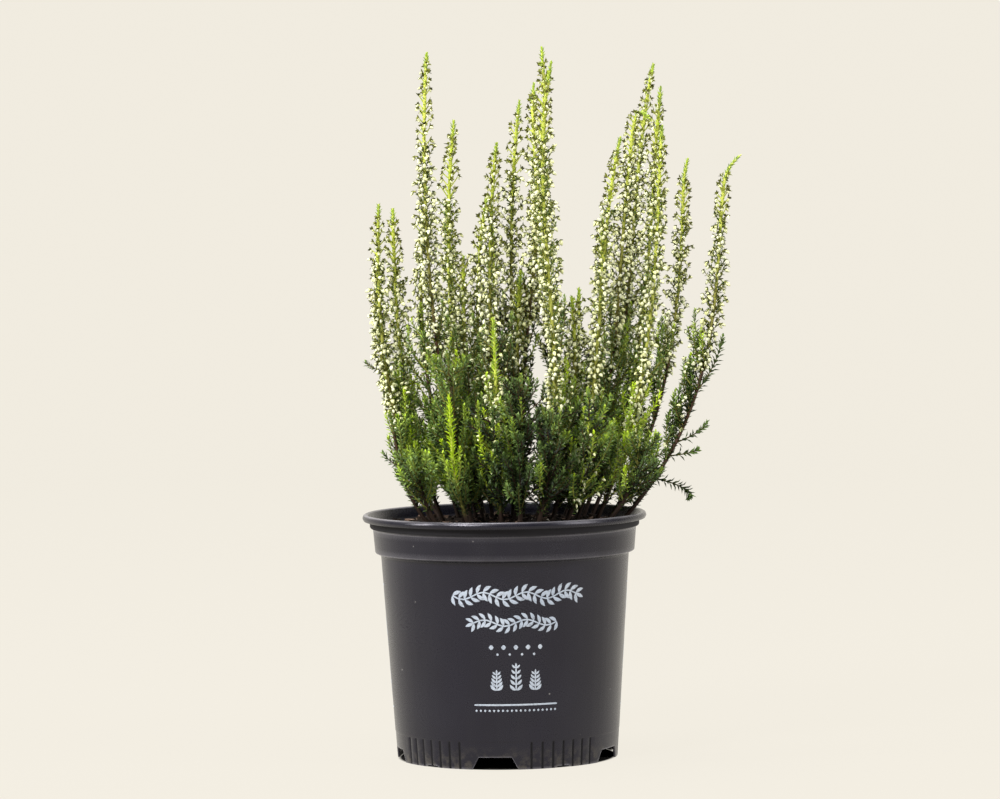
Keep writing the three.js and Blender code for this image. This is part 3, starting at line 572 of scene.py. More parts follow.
rng = np.random.default_rng(7)
soil_columns = 180
soil_rings = np.concatenate([np.linspace(1.2, 56.4, 50), [57.3, SOIL_EDGE_RADIUS]])
soil_angle = 2 * np.pi * np.arange(soil_columns) / soil_columns
ring_x = soil_rings[:, None] * np.cos(soil_angle)[None, :]
ring_y = soil_rings[:, None] * np.sin(soil_angle)[None, :]
ring_z = soil_height(ring_x, ring_y)
ring_z += rough_field(rng, ring_x, ring_y, waves=40, longest=9.0, shortest=2.2, height=0.22)
wall_rings = np.array([(57.9, 95.4), (55.2, 92.8), (49.5, SOIL_FLOOR_Z)])
wall_x = wall_rings[:, :1] * np.cos(soil_angle)[None, :]
wall_y = wall_rings[:, :1] * np.sin(soil_angle)[None, :]
wall_z = np.repeat(wall_rings[:, 1:], soil_columns, axis=1)
soil_grid = np.stack(
    [np.vstack([ring_x, wall_x]), np.vstack([ring_y, wall_y]), np.vstack([ring_z, wall_z])], -1
)
soil_rows = len(soil_grid)
soil_points = np.vstack(
    [soil_grid.reshape(-1, 3), [(0, 0, ring_z[0].mean()), (0, 0, SOIL_FLOOR_Z)]]
)


def lump_triangles(rows, columns):
    """A closed grid whose rows run from the top down, so each triangle is turned round."""
    return np.vstack([part.reshape(-1, 3) for part in closed_grid(rows, columns)])[:, ::-1]


def closed_blob(rings, sides, squareness=1.0):
    """A closed lump of unit radius: at angle a down from the top its ring has the radius
    sin(a) ^ squareness and the height cos(a)."""
    fall = np.pi * (np.arange(rings) + 1) / (rings + 1)
    turn = 2 * np.pi * np.arange(sides) / sides
    body = np.stack(
        [
            np.sin(fall)[:, None] ** squareness * np.cos(turn)[None, :],
            np.sin(fall)[:, None] ** squareness * np.sin(turn)[None, :],
            np.repeat(np.cos(fall)[:, None], sides, axis=1),
        ],
        -1,
    ).reshape(-1, 3)
    points = np.vstack([body, [(0, 0, 1), (0, 0, -1)]])
    return points, lump_triangles(rings, sides)


def scattered(rng, count, shape, triangles, low, high, flatness, length, sunk):
    """Copies of a lump laid on the peat at even odds over its area. Each is made uneven
    point by point, scaled, turned at random and sunk by a share of its size."""
    far = STREWN_RADIUS * np.sqrt(rng.random(count))
    where = rng.uniform(0, 2 * np.pi, count)
    size = low + (high - low) * rng.random(count) ** 2.5
    far = np.minimum(far, STREWN_EDGE - size * length)
    x, y = far * np.cos(where), far * np.sin(where)
    uneven = 1 + 0.28 * rng.standard_normal((count, len(shape), 1)).clip(-1.5, 1.5)
    lumps = shape[None] * uneven * size[:, None, None]
    lumps *= np.array([length, 1.0, flatness])
    for first, second, angle in (
        (0, 2, rng.normal(0, 0.35, count)), (0, 1, rng.uniform(0, 2 * np.pi, count))
    ):
        c, s = np.cos(angle)[:, None], np.sin(angle)[:, None]
        a, b = lumps[..., first].copy(), lumps[..., second].copy()
        lumps[..., first], lumps[..., second] = a * c - b * s, a * s + b * c
    rest = soil_height(x, y) + size * flatness * (1 - sunk)
    lumps += np.stack([x, y, rest], -1)[:, None]
    shift = len(shape) * np.arange(count)[:, None, None]
    return lumps.reshape(-1, 3), (triangles[None] + shift).reshape(-1, 3)


crumb, crumb_triangles = closed_blob(2, 5)
chip, chip_triangles = closed_blob(3, 6, 0.55)
crumbs = scattered(
    rng, 1300, crumb, crumb_triangles, low=0.35, high=1.5, flatness=0.75, length=1.2, sunk=0.35
)
chips = scattered(
    rng, 150, chip, chip_triangles, low=0.9, high=2.6, flatness=0.28, length=1.9, sunk=0.1
)
grains = scattered(
    rng, 60, crumb, crumb_triangles, low=0.35, high=0.8, flatness=0.9, length=1.0, sunk=0.2
)
heaps = [(soil_points, lump_triangles(soil_rows, soil_columns)), crumbs, chips, grains]
peat_points, peat_triangles = joined(heaps)
finish_number = np.concatenate([np.full(len(t), k) for (_, t), k in zip(heaps, (0, 0, 1, 2))])

peat_look, tree, shader, place = finish_of("damp_peat", Specular_IOR_Level=0.25, Roughness=0.95)
fibre = noise(tree, place, 900.0, 6.0)
patch = noise(tree, place, 140.0, 3.0)
brown = mixed(
    tree, between(tree, fibre, 0.35, 0.7), (0.006, 0.004, 0.003, 1), (0.028, 0.018, 0.012, 1)
)
brown = mixed(tree, between(tree, patch, 0.5, 0.75), brown, (0.055, 0.034, 0.022, 1))
coated(tree, shader, brown, fibre, 0.0005)

chip_look, tree, shader, place = finish_of("bark_chips", Specular_IOR_Level=0.3, Roughness=0.85)
layered = noise(tree, place, 1200.0, 4.0, (1.0, 0.25, 1.0))
bark_brown = mixed(
    tree, between(tree, layered, 0.3, 0.7), (0.085, 0.045, 0.030, 1), (0.30, 0.205, 0.150, 1)
)
coated(tree, shader, bark_brown, layered, 0.0003)

grain_look, tree, shader, place = finish_of("pale_grains", Specular_IOR_Level=0.4, Roughness=0.8)
pitted = noise(tree, place, 2500.0, 3.0)
grain_pale = mixed(tree, pitted, (0.30, 0.25, 0.19, 1), (0.75, 0.69, 0.60, 1))
coated(tree, shader, grain_pale, pitted, 0.0002)

peat = put_in_mesh("peat", peat_points, peat_triangles, [peat_look, chip_look, grain_look],
                   look_of=finish_number)
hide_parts("soil")
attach(peat, "root")

# Where the stems run
# Forty shoots rise from one crown in the peat. Each is a thin woody stem that leans out,
# turns upright and tapers to its tip, with side shoots that leave it at a slant.

FOOT_Z = 97.0
HOOK_SHARE = 0.1
CROWN_SHARE = (0.5, 0.78)
CROWN_SHIFT = (1, -3)
KNEE_SHARE = 0.72
STEM_ROOM = 1.9
ROOT_SHARE = 0.12
LIP_ROOM = 60.0
LIP_CLEAR_Z = 114
# How far buds reach from a stem, by the share of the flowering length down from its tip.
BUD_REACH = np.array(
    [(0, 1.1), (0.1, 2.6), (0.27, 4.9), (0.6, 6.5), (0.85, 7.2), (1, 6.2), (1.15, 4.2)]
)
# Each stem's name, shoulder in plan, tip, flowering share, how far its buds stand out
# against the usual, and number of main side shoots.
STEMS = [
    ("left_edge", (-55, -12), (-55, -12, 254), 0.5, 0.85, 4),
    ("left_hidden", (-56, 12), (-56, 12, 236), 0.5, 0.85, 4),
    ("left_second", (-47.5, 0), (-49, 2, 252), 0.5, 1.0, 3),
    ("left_tallest", (-33.5, -20), (-32, -20, 322), 0.55, 1.0, 4),
    ("left_inner", (-24, 16), (-20.5, 18, 292), 0.55, 1.2, 3),
    ("left_cluster", (-17, -6), (-17, -6, 230), 0.4, 1.2, 4),
    ("centre_front", (-5, -24), (-1, -26, 281), 0.5, 1.0, 3),
    ("centre_left", (-11, 8), (-6, 8, 257), 0.5, 0.95, 3),
    ("centre_back", (5, 26), (9.8, 30, 301), 0.5, 1.1, 3),
    ("centre_short", (7, -2), (9, -4, 223), 0.4, 0.9, 3),
    ("centre_tallest", (18, 13), (20, 16, 325), 0.5, 1.0, 3),
    ("centre_lime", (19, -13), (16, -13, 308), 0.5, 1.0, 3),
    ("centre_right", (20, -32), (24, -34, 317), 0.5, 1.15, 3),
    ("centre_gap", (33, -2), (32, -4, 211), 0.35, 0.9, 3),
    ("right_inner", (46, -16), (55, -18, 283), 0.5, 0.95, 3),
    ("right_hooked", (56, 8), (64.5, 8, 305), 0.45, 0.85, 3),
    ("right_tallest", (62, 30), (72, 32, 317), 0.5, 0.95, 3),
    ("right_back", (70, 49), (76, 52, 307), 0.5, 1.1, 3),
    ("right_lime", (70, -10), (74, -10, 288), 0.5, 0.95, 3),
    ("right_outer", (81.7, 15), (85, 16, 273), 0.5, 1.0, 4),
    ("right_leaning", (98, -5), (103.4, -6, 274), 0.5, 1.0, 0),
    ("front_left_lime", (-23, -48), (-24, -49, 169), 0.5, 0.6, 3),
    ("front_lime", (-3, -45), (-4, -47, 203), 0.5, 0.8, 4),
    ("front_right_lime", (38, -36), (38, -38, 171), 0.5, 0.7, 4),
    ("front_left_dark", (-22, -32), (-25, -34, 188), 0, 1, 3),
    ("front_dark", (9, -50), (8, -52, 178), 0, 1, 3),
    ("front_centre_dark", (20, -49), (17, -51, 164), 0, 1, 3),
    ("low_right", (60, -28), (62, -30, 152), 0, 1, 4),
    ("low_left", (-47.5, -25), (-51.5, -27, 161), 0, 1, 3),
    ("low_left_front", (-38, -42), (-42, -46, 146), 0, 1, 3),
    ("back_left", (-37, 28), (-34, 30, 262), 0.45, 0.95, 3),
    ("back_left_outer", (-22, 42), (-25, 46, 250), 0.45, 1.0, 3),
    ("back_centre", (-3, 48), (-4, 52, 245), 0.45, 1.0, 3),
    ("back_right_tall", (18, 42), (18, 46, 270), 0.45, 0.95, 3),
    ("back_inner", (35, 24), (36, 28, 214), 0.35, 0.9, 3),
    ("back_right", (46, 46), (48, 50, 248), 0.45, 0.95, 3),
    ("low_back_right", (26, 58), (30, 64, 168), 0, 1, 3),
    ("low_back_left", (-14, 60), (-18, 66, 164), 0, 1, 3),
    ("low_left_back", (-46, 38), (-50, 43, 184), 0, 1, 3),
    ("low_right_back", (44, 62), (50, 68, 176), 0, 1, 3),
]
# How far tips bend over, feet and knees stand off their usual places, the side that main
# side shoots face in degrees, and low twigs by height, side, rise and spread.
HOOKS = {"right_hooked": (6, 0, -16), "right_leaning": (7, 0, 0), "right_outer": (2, 0, 0)}
FEET = {"right_leaning": (-7, 0)}
KNEES = {
    "left_tallest": (1, 0), "right_leaning": (2, 0), "centre_tallest": (-6, 0),
    "centre_lime": (7, 0), "centre_right": (6, 0), "back_right_tall": (8, 0),
}
AIMS = {
    "right_outer": 190, "low_left": 40, "centre_tallest": 150, "centre_short": 190,
    "centre_lime": -20, "centre_right": -10, "back_right_tall": 20, "centre_back": 120,
    "centre_gap": 0, "front_dark": 220, "left_edge": 30, "left_hidden": -20,
    "right_leaning": 180,
}
TWIGS = {
    "right_leaning": [
        (127, -10, -9, 22), (137, -20, 3, 12), (143, 0, 9, 10), (144, 180, 13, 9),
        (148, 200, 16, 6), (150, 185, 18, 8), (156, 200, 17, 4), (158, 180, 22, 5.5),
        (166, 0, 25, 6), (178, 180, 13, 4.5),
    ],
}
TOP = np.array([tip[2] for _, _, tip, *_ in STEMS], float)
shoulders = np.array([shoulder for _, shoulder, *_ in STEMS], float)
feet = shoulders * CROWN_SHARE + CROWN_SHIFT + [FEET.get(name, (0, 0)) for name, *_ in STEMS]
tips = np.array([tip[:2] for _, _, tip, *_ in STEMS], float)
knees = feet + KNEE_SHARE * (shoulders - feet) + [KNEES.get(name, (0, 0)) for name, *_ in STEMS]
WAY = np.stack([feet, knees, shoulders, tips], axis=1)


def chance(n):
    """A repeatable number from 0 to 1: the fraction of 43758.5453 sin(12.9898 (n + 1))."""
    return np.mod(np.sin((np.asarray(n) + 1) * 12.9898) * 43758.5453, 1)


def unit(v):
    """Each vector divided by its own length."""
    return v / np.linalg.norm(v, axis=-1, keepdims=True)


def axis_at(own, z):
    """A stem's axis at heights z: the cubic that passes its foot, knee, shoulder and tip at
    t = 0, 1/3, 2/3 and 1 of the way up."""
    z = np.asarray(z, float)
    t = np.clip((z - FOOT_Z) / (TOP[own] - FOOT_Z), 0, 1)
    weight = np.stack(
        [
            -4.5 * (t - 1 / 3) * (t - 2 / 3) * (t - 1),
            13.5 * t * (t - 2 / 3) * (t - 1),
            -13.5 * t * (t - 1 / 3) * (t - 1),
            4.5 * t * (t - 1 / 3) * (t - 2 / 3),
        ],
        -1,
    )
    return np.concatenate([weight @ WAY[own], z[..., None]], -1)


def centre_at(own, z):
    """The axis with its last part bent over: moved by the hook times the cube of the way
    along that part."""
    hook = np.array(HOOKS.get(STEMS[own][0], (0, 0, 0)), float)
    bend = HOOK_SHARE * (TOP[own] - FOOT_Z)
    past = np.clip(1 - (TOP[own] - z) / bend, 0, 1)
    return axis_at(own, z) + past[..., None] ** 3 * hook


def keep_in_room(own, points, margin):
    """Points bent back until each is nearer to its own stem's axis than to any other at
    its height, by the margin, and inside the lip where it is as low as the lip."""
    points = points.copy()
    z = points[:, 2]
    home = axis_at(own, z)[:, :2]
    for other in range(len(STEMS)):
        if other != own:
            away = axis_at(other, z)[:, :2] - home
            apart = np.linalg.norm(away, axis=1)
            away /= apart[:, None]
            past = ((points[:, :2] - home) * away).sum(1) - (apart / 2 - margin)
            push = np.where((z < TOP[other] + 1) & (past > 0), past, 0)
            points[:, :2] -= away * push[:, None]
    out = np.hypot(points[:, 0], points[:, 1])
    lip_room = LIP_ROOM - margin
    low = (z < LIP_CLEAR_Z + margin) & (out > lip_room)
    points[:, :2] *= np.where(low, lip_room / np.maximum(out, 1e-6), 1)[:, None]
    return points


def shoot_at(own, root_z, azimuth, rise, spread, u, room=STEM_ROOM):
    """A side shoot's line: it climbs rise u above its root beside the stem, and stands out
    from it by spread (1 - (1 - u)^2), so it leaves at a slant and turns up."""
    z = root_z + rise * u
    away = np.stack([np.cos(azimuth), np.sin(azimuth), np.zeros_like(azimuth)], -1)
    line = axis_at(own, z) + away * (spread * (1 - (1 - u) ** 2))[:, None]
    bent = keep_in_room(own, line, room)
    return line + np.minimum(u / ROOT_SHARE, 1)[:, None] * (bent - line)


def tube(line, radius, sides):
    """Closed tubes along lines of (count, stations, 3). Round station k lie points at
    radius (sideways cos turn + across sin turn), and flat caps close the ends."""
    tangent = unit(np.gradient(line, axis=1))
    ahead = np.array([0.0, 1.0, 0.0])
    across = unit(ahead - (tangent @ ahead)[..., None] * tangent)
    sideways = np.cross(across, tangent)
    turn = 2 * np.pi * np.arange(sides) / sides
    ring = np.cos(turn)[:, None] * sideways[:, :, None] + np.sin(turn)[:, None] * across[:, :, None]
    body = line[:, :, None] + radius[..., None, None] * ring
    count, stations = line.shape[:2]
    shape = body.reshape(count, -1, 3)
    corner = np.arange(1, sides - 1)
    cap = np.stack([np.zeros_like(corner), corner + 1, corner], -1)
    far_cap = cap[:, ::-1] + (stations - 1) * sides
    one = np.vstack([grid_triangles(stations, sides).reshape(-1, 3), cap, far_cap])
    return shape, one, np.repeat(np.linspace(0, 1, stations), sides)


bark, tree, shader, place = finish_of("heather_bark", Specular_IOR_Level=0.2, Roughness=0.7)
freshness_and_shade = layer_value(tree, "fresh")
chance_of = layer_value(tree, "tint")
ridge = noise(tree, place, 2200.0, 3.0, (1.0, 1.0, 0.2))
woody = mixed(tree, ridge, (0.026, 0.013, 0.008, 1), (0.150, 0.078, 0.045, 1))
height_up = node(tree, "ShaderNodeSeparateXYZ", {0: place}).outputs["Z"]
# Painted shade: the bark is darkened toward near-black low down, most below 112 mm and fading out
# by 155 mm, where the foot of the bush lies in shade.
shaded = between(tree, height_up, 0.112, 0.155, 0.8, 0.0)
woody = mixed(tree, shaded, woody, (0.006, 0.004, 0.003, 1))
green = mixed(tree, chance_of, (0.44, 0.50, 0.055, 1), (0.72, 0.76, 0.14, 1))
stem_colour = mixed(tree, between(tree, freshness_and_shade, 0.25, 0.75), woody, green)
coated(tree, shader, stem_colour, ridge, 0.0001)

# Leaves and side shoots
# Heather leaves are scale-like needles 1.5 to 3 mm long with no stalk, in opposite pairs
# that stand crosswise to the next pair. They are pressed close at each shoot's tip.

LEAF = np.array([(-0.05, 0, -0.3), (0.52, 0.5, 0.2), (0.52, -0.5, 0.2), (1, 0, -0.15)])
LEAF_REACH = np.array([0.0, 0.5, 0.5, 1.0])
LEAF_TRIANGLES = np.array([(0, 2, 1), (3, 1, 2), (0, 1, 3), (0, 3, 2)])
LEAF_PITCH = 1.05
PAIR_TURN = np.pi / 2 + 0.12
SHOOT_STATIONS = 5
SHOOT_THICKNESS = (0.45, 0.2)

# The finishes of a stem by number: its bark, a leaf, a bract and a bud.
BARK, LEAFY, BRACT, BUDDED = range(4)


def grown(shape, at, along, side, size):
    """Copies of one small shape. Its point (a, s, u) goes to at + a length along
    + s width side + u depth (along x side)."""
    up = np.cross(along, side)
    length, width, depth = (size[:, k, None, None] for k in range(3))
    a, s, u = (shape[None, :, k, None] for k in range(3))
    lengthwise = at[:, None] + a * length * along[:, None]
    return lengthwise + s * width * side[:, None] + u * depth * up[:, None]


def heaped(heap, shape, triangles, finish, fresh, reach, tint):
    """Adds copies of a shape, of (count, points, 3), to a stem's heap with its layers."""
    count, size = shape.shape[:2]
    shift = size * np.arange(count)[:, None, None]
    values = [
        np.broadcast_to(np.asarray(value, float).reshape(wide), (count, size)).ravel()
        for value, wide in ((fresh, (-1, 1)), (reach, (1, -1)), (tint, (-1, 1)))
    ]
    heap.append((shape.reshape(-1, 3), (triangles[None] + shift).reshape(-1, 3), finish, *values))


def steps_along(lengths, pitch):
    """For lines of given lengths, every place at one pitch: its line's number, its order
    on it, and its share of the way along."""
    counts = np.maximum((lengths / pitch).astype(int), 1)
    line = np.repeat(np.arange(len(counts)), counts)
    order = np.arange(counts.sum()) - np.repeat(np.cumsum(counts) - counts, counts)
    return line, order, (order + 0.5) / counts[line]


def add_leaves(heap, rng, at, tangent, order, length, lean, fresh, broad=1.0):
    """Two opposite leaves at each place on a shoot, a quarter turn on from the last pair.
    A leaf's direction is cos(lean) tangent + sin(lean) outward, and its width is
    0.36 length^0.6 + 0.34. One length, lean or freshness may stand for all."""
    ahead = np.array([0.0, 1.0, 0.0])
    across = unit(ahead - (tangent @ ahead)[:, None] * tangent)
    sideways = np.cross(across, tangent)
    turn = PAIR_TURN * order + rng.normal(0, 0.22, len(at))
    turn = np.concatenate([turn, turn + np.pi])
    length, lean, fresh = (
        np.tile(np.broadcast_to(value, len(at)), 2) for value in (length, lean, fresh)
    )
    at, tangent, across, sideways = (np.vstack([v, v]) for v in (at, tangent, across, sideways))
    length = length * rng.uniform(0.82, 1.15, len(at))
    lean = lean + rng.normal(0, 0.12, len(at))
    outward = np.cos(turn)[:, None] * sideways + np.sin(turn)[:, None] * across
    along = np.cos(lean)[:, None] * tangent + np.sin(lean)[:, None] * outward
    width = broad * (0.36 * length ** 0.6 + 0.34)
    size = np.stack([length, width, 0.8 * width], -1)
    leaves = grown(LEAF, at, along, unit(np.cross(tangent, outward)), size)
    fresh = fresh + rng.normal(0, 0.06, len(at))
    heaped(heap, leaves, LEAF_TRIANGLES, LEAFY, fresh, LEAF_REACH, rng.random(len(at)))


def add_side_shoots(heap, own, rng, shoots, fresh, room=STEM_ROOM, broad=1.0):
    """Leafy side shoots, given as their roots' heights, sides, rises and spreads: a thin
    stalk along shoot_at, and crossed leaves that shorten and close up as what is left of
    the shoot runs out."""
    count = len(shoots[0])
    _, _, rise, spread = shoots
    which = np.repeat(np.arange(count), SHOOT_STATIONS)
    u = np.tile(np.linspace(0, 1, SHOOT_STATIONS), count)
    line = shoot_at(own, *(value[which] for value in shoots), u, room)
    thickness = np.tile(np.linspace(*SHOOT_THICKNESS, SHOOT_STATIONS), (count, 1))
    shape, triangles, reach = tube(line.reshape(count, SHOOT_STATIONS, 3), thickness, 3)
    heaped(heap, shape, triangles, BARK, 0.2 + 0.6 * fresh, reach, rng.random(count))
    length = np.hypot(rise, spread)
    which, order, u = steps_along(length, LEAF_PITCH)
    at = shoot_at(own, *(value[which] for value in shoots), u, room)
    tangent = unit(shoot_at(own, *(value[which] for value in shoots), u + 0.02, room) - at)
    left = (1 - u) * length[which]
    leaf_length = broad * np.interp(left, [0, 4, 10], [1.7, 2.6, 2.9])
    lean = np.interp(left, [0, 2.5, 9], [0.35, 0.72, 1.0])
    freshness_and_shade = fresh[which] + np.interp(left, [0, 3, 9], [0.34, 0.16, 0.0])
    # Painted shade, with the darker old leaves: leaves near a shoot's root and low down near the
    # peat are darkened.
    freshness_and_shade -= np.interp(u * length[which], [0, 6], [0.16, 0.0])
    freshness_and_shade -= np.interp(at[:, 2], [112, 132], [0.12, 0.0])
    add_leaves(heap, rng, at, tangent, order, leaf_length, lean, freshness_and_shade, broad)
    return at, tangent


leaf, tree, shader, place = finish_of("heather_leaf", Specular_IOR_Level=0.28, Roughness=0.45)
freshness_and_shade = layer_value(tree, "fresh")
toward_tip = layer_value(tree, "reach")
chance_of = layer_value(tree, "tint")
mottle = noise(tree, place, 1500.0, 3.0)
# The fresh layer carries painted light and shade as well as age: it is lower in the bush's middle,
# near shoot roots and near the peat.
age_and_shade = arithmetic(tree, "ADD", freshness_and_shade, between(tree, mottle, 0.3, 0.7, -0.08, 0.08))
age_and_shade = arithmetic(tree, "ADD", age_and_shade, between(tree, chance_of, 0.0, 1.0, -0.10, 0.10))
age_and_shade = arithmetic(tree, "ADD", age_and_shade, between(tree, toward_tip, 0.0, 1.0, -0.05, 0.06))
leaf_ramp = node(tree, "ShaderNodeValToRGB", {0: age_and_shade})
leaf_stops = leaf_ramp.color_ramp.elements
leaf_stops[0].color = (0.010, 0.020, 0.006, 1)
leaf_stops[-1].color = (0.640, 0.860, 0.028, 1)
leaf_stops.new(0.25).color = (0.072, 0.122, 0.028, 1)
leaf_stops.new(0.5).color = (0.205, 0.315, 0.078, 1)
leaf_stops.new(0.75).color = (0.425, 0.575, 0.072, 1)
coated(tree, shader, leaf_ramp.outputs[0], mottle, 0.00005)

# Buds
# Each flower stays a closed bud: cream sepals folded into an egg 2 to 3 mm long on a thin
# stalk, held at its base by a tuft of short dark bracts.

BRACTS = 5
STALK_RADII = (0.42, 0.30)
GREEN_BUD_LENGTH = 1.35
BUD_GROWTH = 1.5
BUD_WIDTHS = (0.52, 0.63)
BRACT_LENGTHS = (1.3, 2.1)
BRACT_WIDTH = 0.95
BRACT_DEPTH = 0.7


def bud_shape(rings, sides):
    """A closed egg of unit length and half width 0.5 along its first axis. At share u of
    its length its radius is 0.5 sin(pi u^0.8)^0.75, with three lobes of cos 3 turn."""
    u = (np.arange(rings) + 1) / (rings + 1)
    turn = 2 * np.pi * np.arange(sides) / sides
    radius = 0.5 * np.sin(np.pi * u ** 0.8) ** 0.75
    lobed = radius[:, None] * (1 + 0.08 * np.cos(3 * turn)[None, :])
    body = np.stack(
        [np.repeat(u[:, None], sides, 1), lobed * np.cos(turn), lobed * np.sin(turn)], -1
    ).reshape(-1, 3)
    points = np.vstack([body, [(0, 0, 0), (1.04, 0, 0)]])
    triangles = np.vstack([part.reshape(-1, 3) for part in closed_grid(rings, sides)])
    return points, triangles, np.append(np.repeat(u, sides), [0, 1])


BUD, BUD_TRIANGLES, BUD_U = bud_shape(3, 6)


def square_to(along):
    """A side direction square to each direction: its product with straight up, or with
    straight right where it is itself nearly upright."""
    helper = np.where(np.abs(along[:, 2:]) < 0.8, [0.0, 0.0, 1.0], [1.0, 0.0, 0.0])
    return unit(np.cross(along, helper))


def add_flowers(heap, own, rng, at, out, stalk, ripe, green, nod, tuft=1.0):
    """A bud on its stalk at each place: the stalk runs along out, the bud hangs from it by
    its nod and as it ripens, and its bracts, tuft times as long as usual, stand round its
    base, turned by the nod from the bud toward the stalk's own direction."""
    count = len(at)
    bud_length = (GREEN_BUD_LENGTH + BUD_GROWTH * ripe) * rng.uniform(0.85, 1.12, count)
    stalk = np.broadcast_to(stalk, count)
    head = keep_in_room(own, at + stalk[:, None] * out, bud_length + 0.2)
    line = np.stack([at, head], axis=1)
    shape, triangles, reach = tube(line, np.tile(STALK_RADII, (count, 1)), 3)
    heaped(heap, shape, triangles, BARK, green, reach, rng.random(count))
    hang = 0.8 * ripe[:, None] + 0.6 * nod
    along = unit((1 - nod) * out + rng.normal(0, 0.34, (count, 3)) - [0, 0, 1] * hang)
    side = square_to(along)
    width = bud_length * rng.uniform(*BUD_WIDTHS, count)
    buds = grown(BUD, head - 0.2 * along, along, side, np.stack([bud_length, width, width], -1))
    heaped(heap, buds, BUD_TRIANGLES, BUDDED, ripe, BUD_U, rng.random(count))
    crown = unit((1 - nod) * along + nod * out)
    side = square_to(crown)
    up = np.cross(crown, side)
    first = rng.uniform(0, 2 * np.pi, count)
    for bract_number in range(BRACTS):
        turn = first + 2 * np.pi * bract_number / BRACTS + rng.normal(0, 0.25, count)
        outward = np.cos(turn)[:, None] * side + np.sin(turn)[:, None] * up
        lean = 0.62 + 0.3 * (1 - ripe) + rng.normal(0, 0.15, count)
        way = np.cos(lean)[:, None] * crown + np.sin(lean)[:, None] * outward
        length = tuft * rng.uniform(*BRACT_LENGTHS, count)
        size = np.stack(
            [length, np.full(count, BRACT_WIDTH * tuft), np.full(count, BRACT_DEPTH)], -1
        )
        scales = grown(LEAF, head - 0.3 * crown, way, unit(np.cross(crown, outward)), size)
        heaped(heap, scales, LEAF_TRIANGLES, BRACT, ripe, LEAF_REACH, rng.random(count))


bract, tree, shader, place = finish_of("dark_bract", Specular_IOR_Level=0.2, Roughness=0.7)
chance_of = layer_value(tree, "tint")
mottle = noise(tree, place, 1800.0, 2.0)
olive = mixed(tree, chance_of, (0.050, 0.054, 0.011, 1), (0.27, 0.29, 0.040, 1))
olive = mixed(tree, between(tree, mottle, 0.55, 0.75), olive, (0.085, 0.060, 0.014, 1))
shrunk = between(tree, layer_value(tree, "fresh"), 0.55, 0.9, 0.0, 0.45)
olive = mixed(tree, shrunk, olive, (0.028, 0.033, 0.006, 1))
coated(tree, shader, olive, mottle, 0.00005)

bud_look, tree, shader, place = finish_of("cream_bud", Specular_IOR_Level=0.25, Roughness=0.6)
toward_tip = layer_value(tree, "reach")
chance_of = layer_value(tree, "tint")
ripe = layer_value(tree, "fresh")
vein = noise(tree, place, 1400.0, 3.0)
petal = mixed(tree, chance_of, (0.98, 0.98, 0.50, 1), (1.0, 0.998, 0.74, 1))
for value, low, high, to_low, to_high, shade in (
    (vein, 0.5, 0.8, 0.0, 0.4, (0.80, 0.84, 0.28, 1)),
    (toward_tip, 0.30, 0.0, 0.0, 0.85, (0.46, 0.52, 0.09, 1)),
    (toward_tip, 0.85, 1.0, 0.0, 0.4, (0.70, 0.74, 0.24, 1)),
    (ripe, 0.35, 0.0, 0.0, 0.7, (0.62, 0.70, 0.14, 1)),
):
    petal = mixed(tree, between(tree, value, low, high, to_low, to_high), petal, shade)
coated(tree, shader, petal, vein, 0.00008)

# The stems, grown one by one
# Each stem carries crossed leaves and side shoots up to its buds, then short side stalks
# with buds, then single buds on a bare green stem, then a close-leaved growing tip.

FINISHES = [bark, leaf, bract, bud_look]
LIME = {
    "front_left_lime": 0.95, "front_lime": 0.75, "front_right_lime": 0.55, "centre_lime": 0.4,
    "right_lime": 0.5, "centre_right": 0.3, "left_second": 0.45, "right_inner": 0.3,
    "left_inner": 0.4, "right_back": 0.3, "low_right": 0.35, "left_edge": 0.1,
    "left_tallest": -0.05,
}
TIP_LENGTH = {
    "front_left_lime": 40.0, "front_lime": 30.0, "front_right_lime": 22.0, "left_cluster": 5.0
}
LOW_BLOOM = {
    "centre_right": 1.6, "right_inner": 1.6, "centre_gap": 1.5, "centre_lime": 1.45,
    "left_edge": 1.3, "left_second": 1.25, "left_inner": 1.2,
    "right_lime": 1.45, "right_hooked": 1.35, "right_back": 1.3, "front_right_lime": 1.4,
}
USUAL_LOW_BLOOM = 1.1
SHOOT_GAP = 2.3
SPRIG_GAP = 1.7
SIDE_STALK_GAP = 2.42
LONE_BUD_GAP = 2.3
BACK_SPARSER = 1.4
WOOD_RADII = [1.25, 0.95, 0.7, 0.72, 0.25]
WOOD_SIDES = 6
WOOD_STEP = 4.0
TIP_BARE = 1.5
TIP_PITCH = 0.9
STEM_LEAF_PITCH = 1.3
GREEN_STEM_PITCH = 1.5
STALK_LEAF_PITCH = 1.4
SPIRAL_DEG = 137.5
LOW_SHOOT_Z = 119.0
BETWEEN_RISES = (11, 23)
BETWEEN_SPREADS = (5.0, 11.0)
SPRIG_TOP_Z = 156.0
SPRIG_RISES = (5, 13)
SPRIG_SPREADS = (7, 14)
LONE_SHARE = 0.36
GREEN_SHARE = 0.7
LONE_CLIMB = (38, 58)
SIDE_CLIMB = (32, 58)
FIRST_SEED = 400

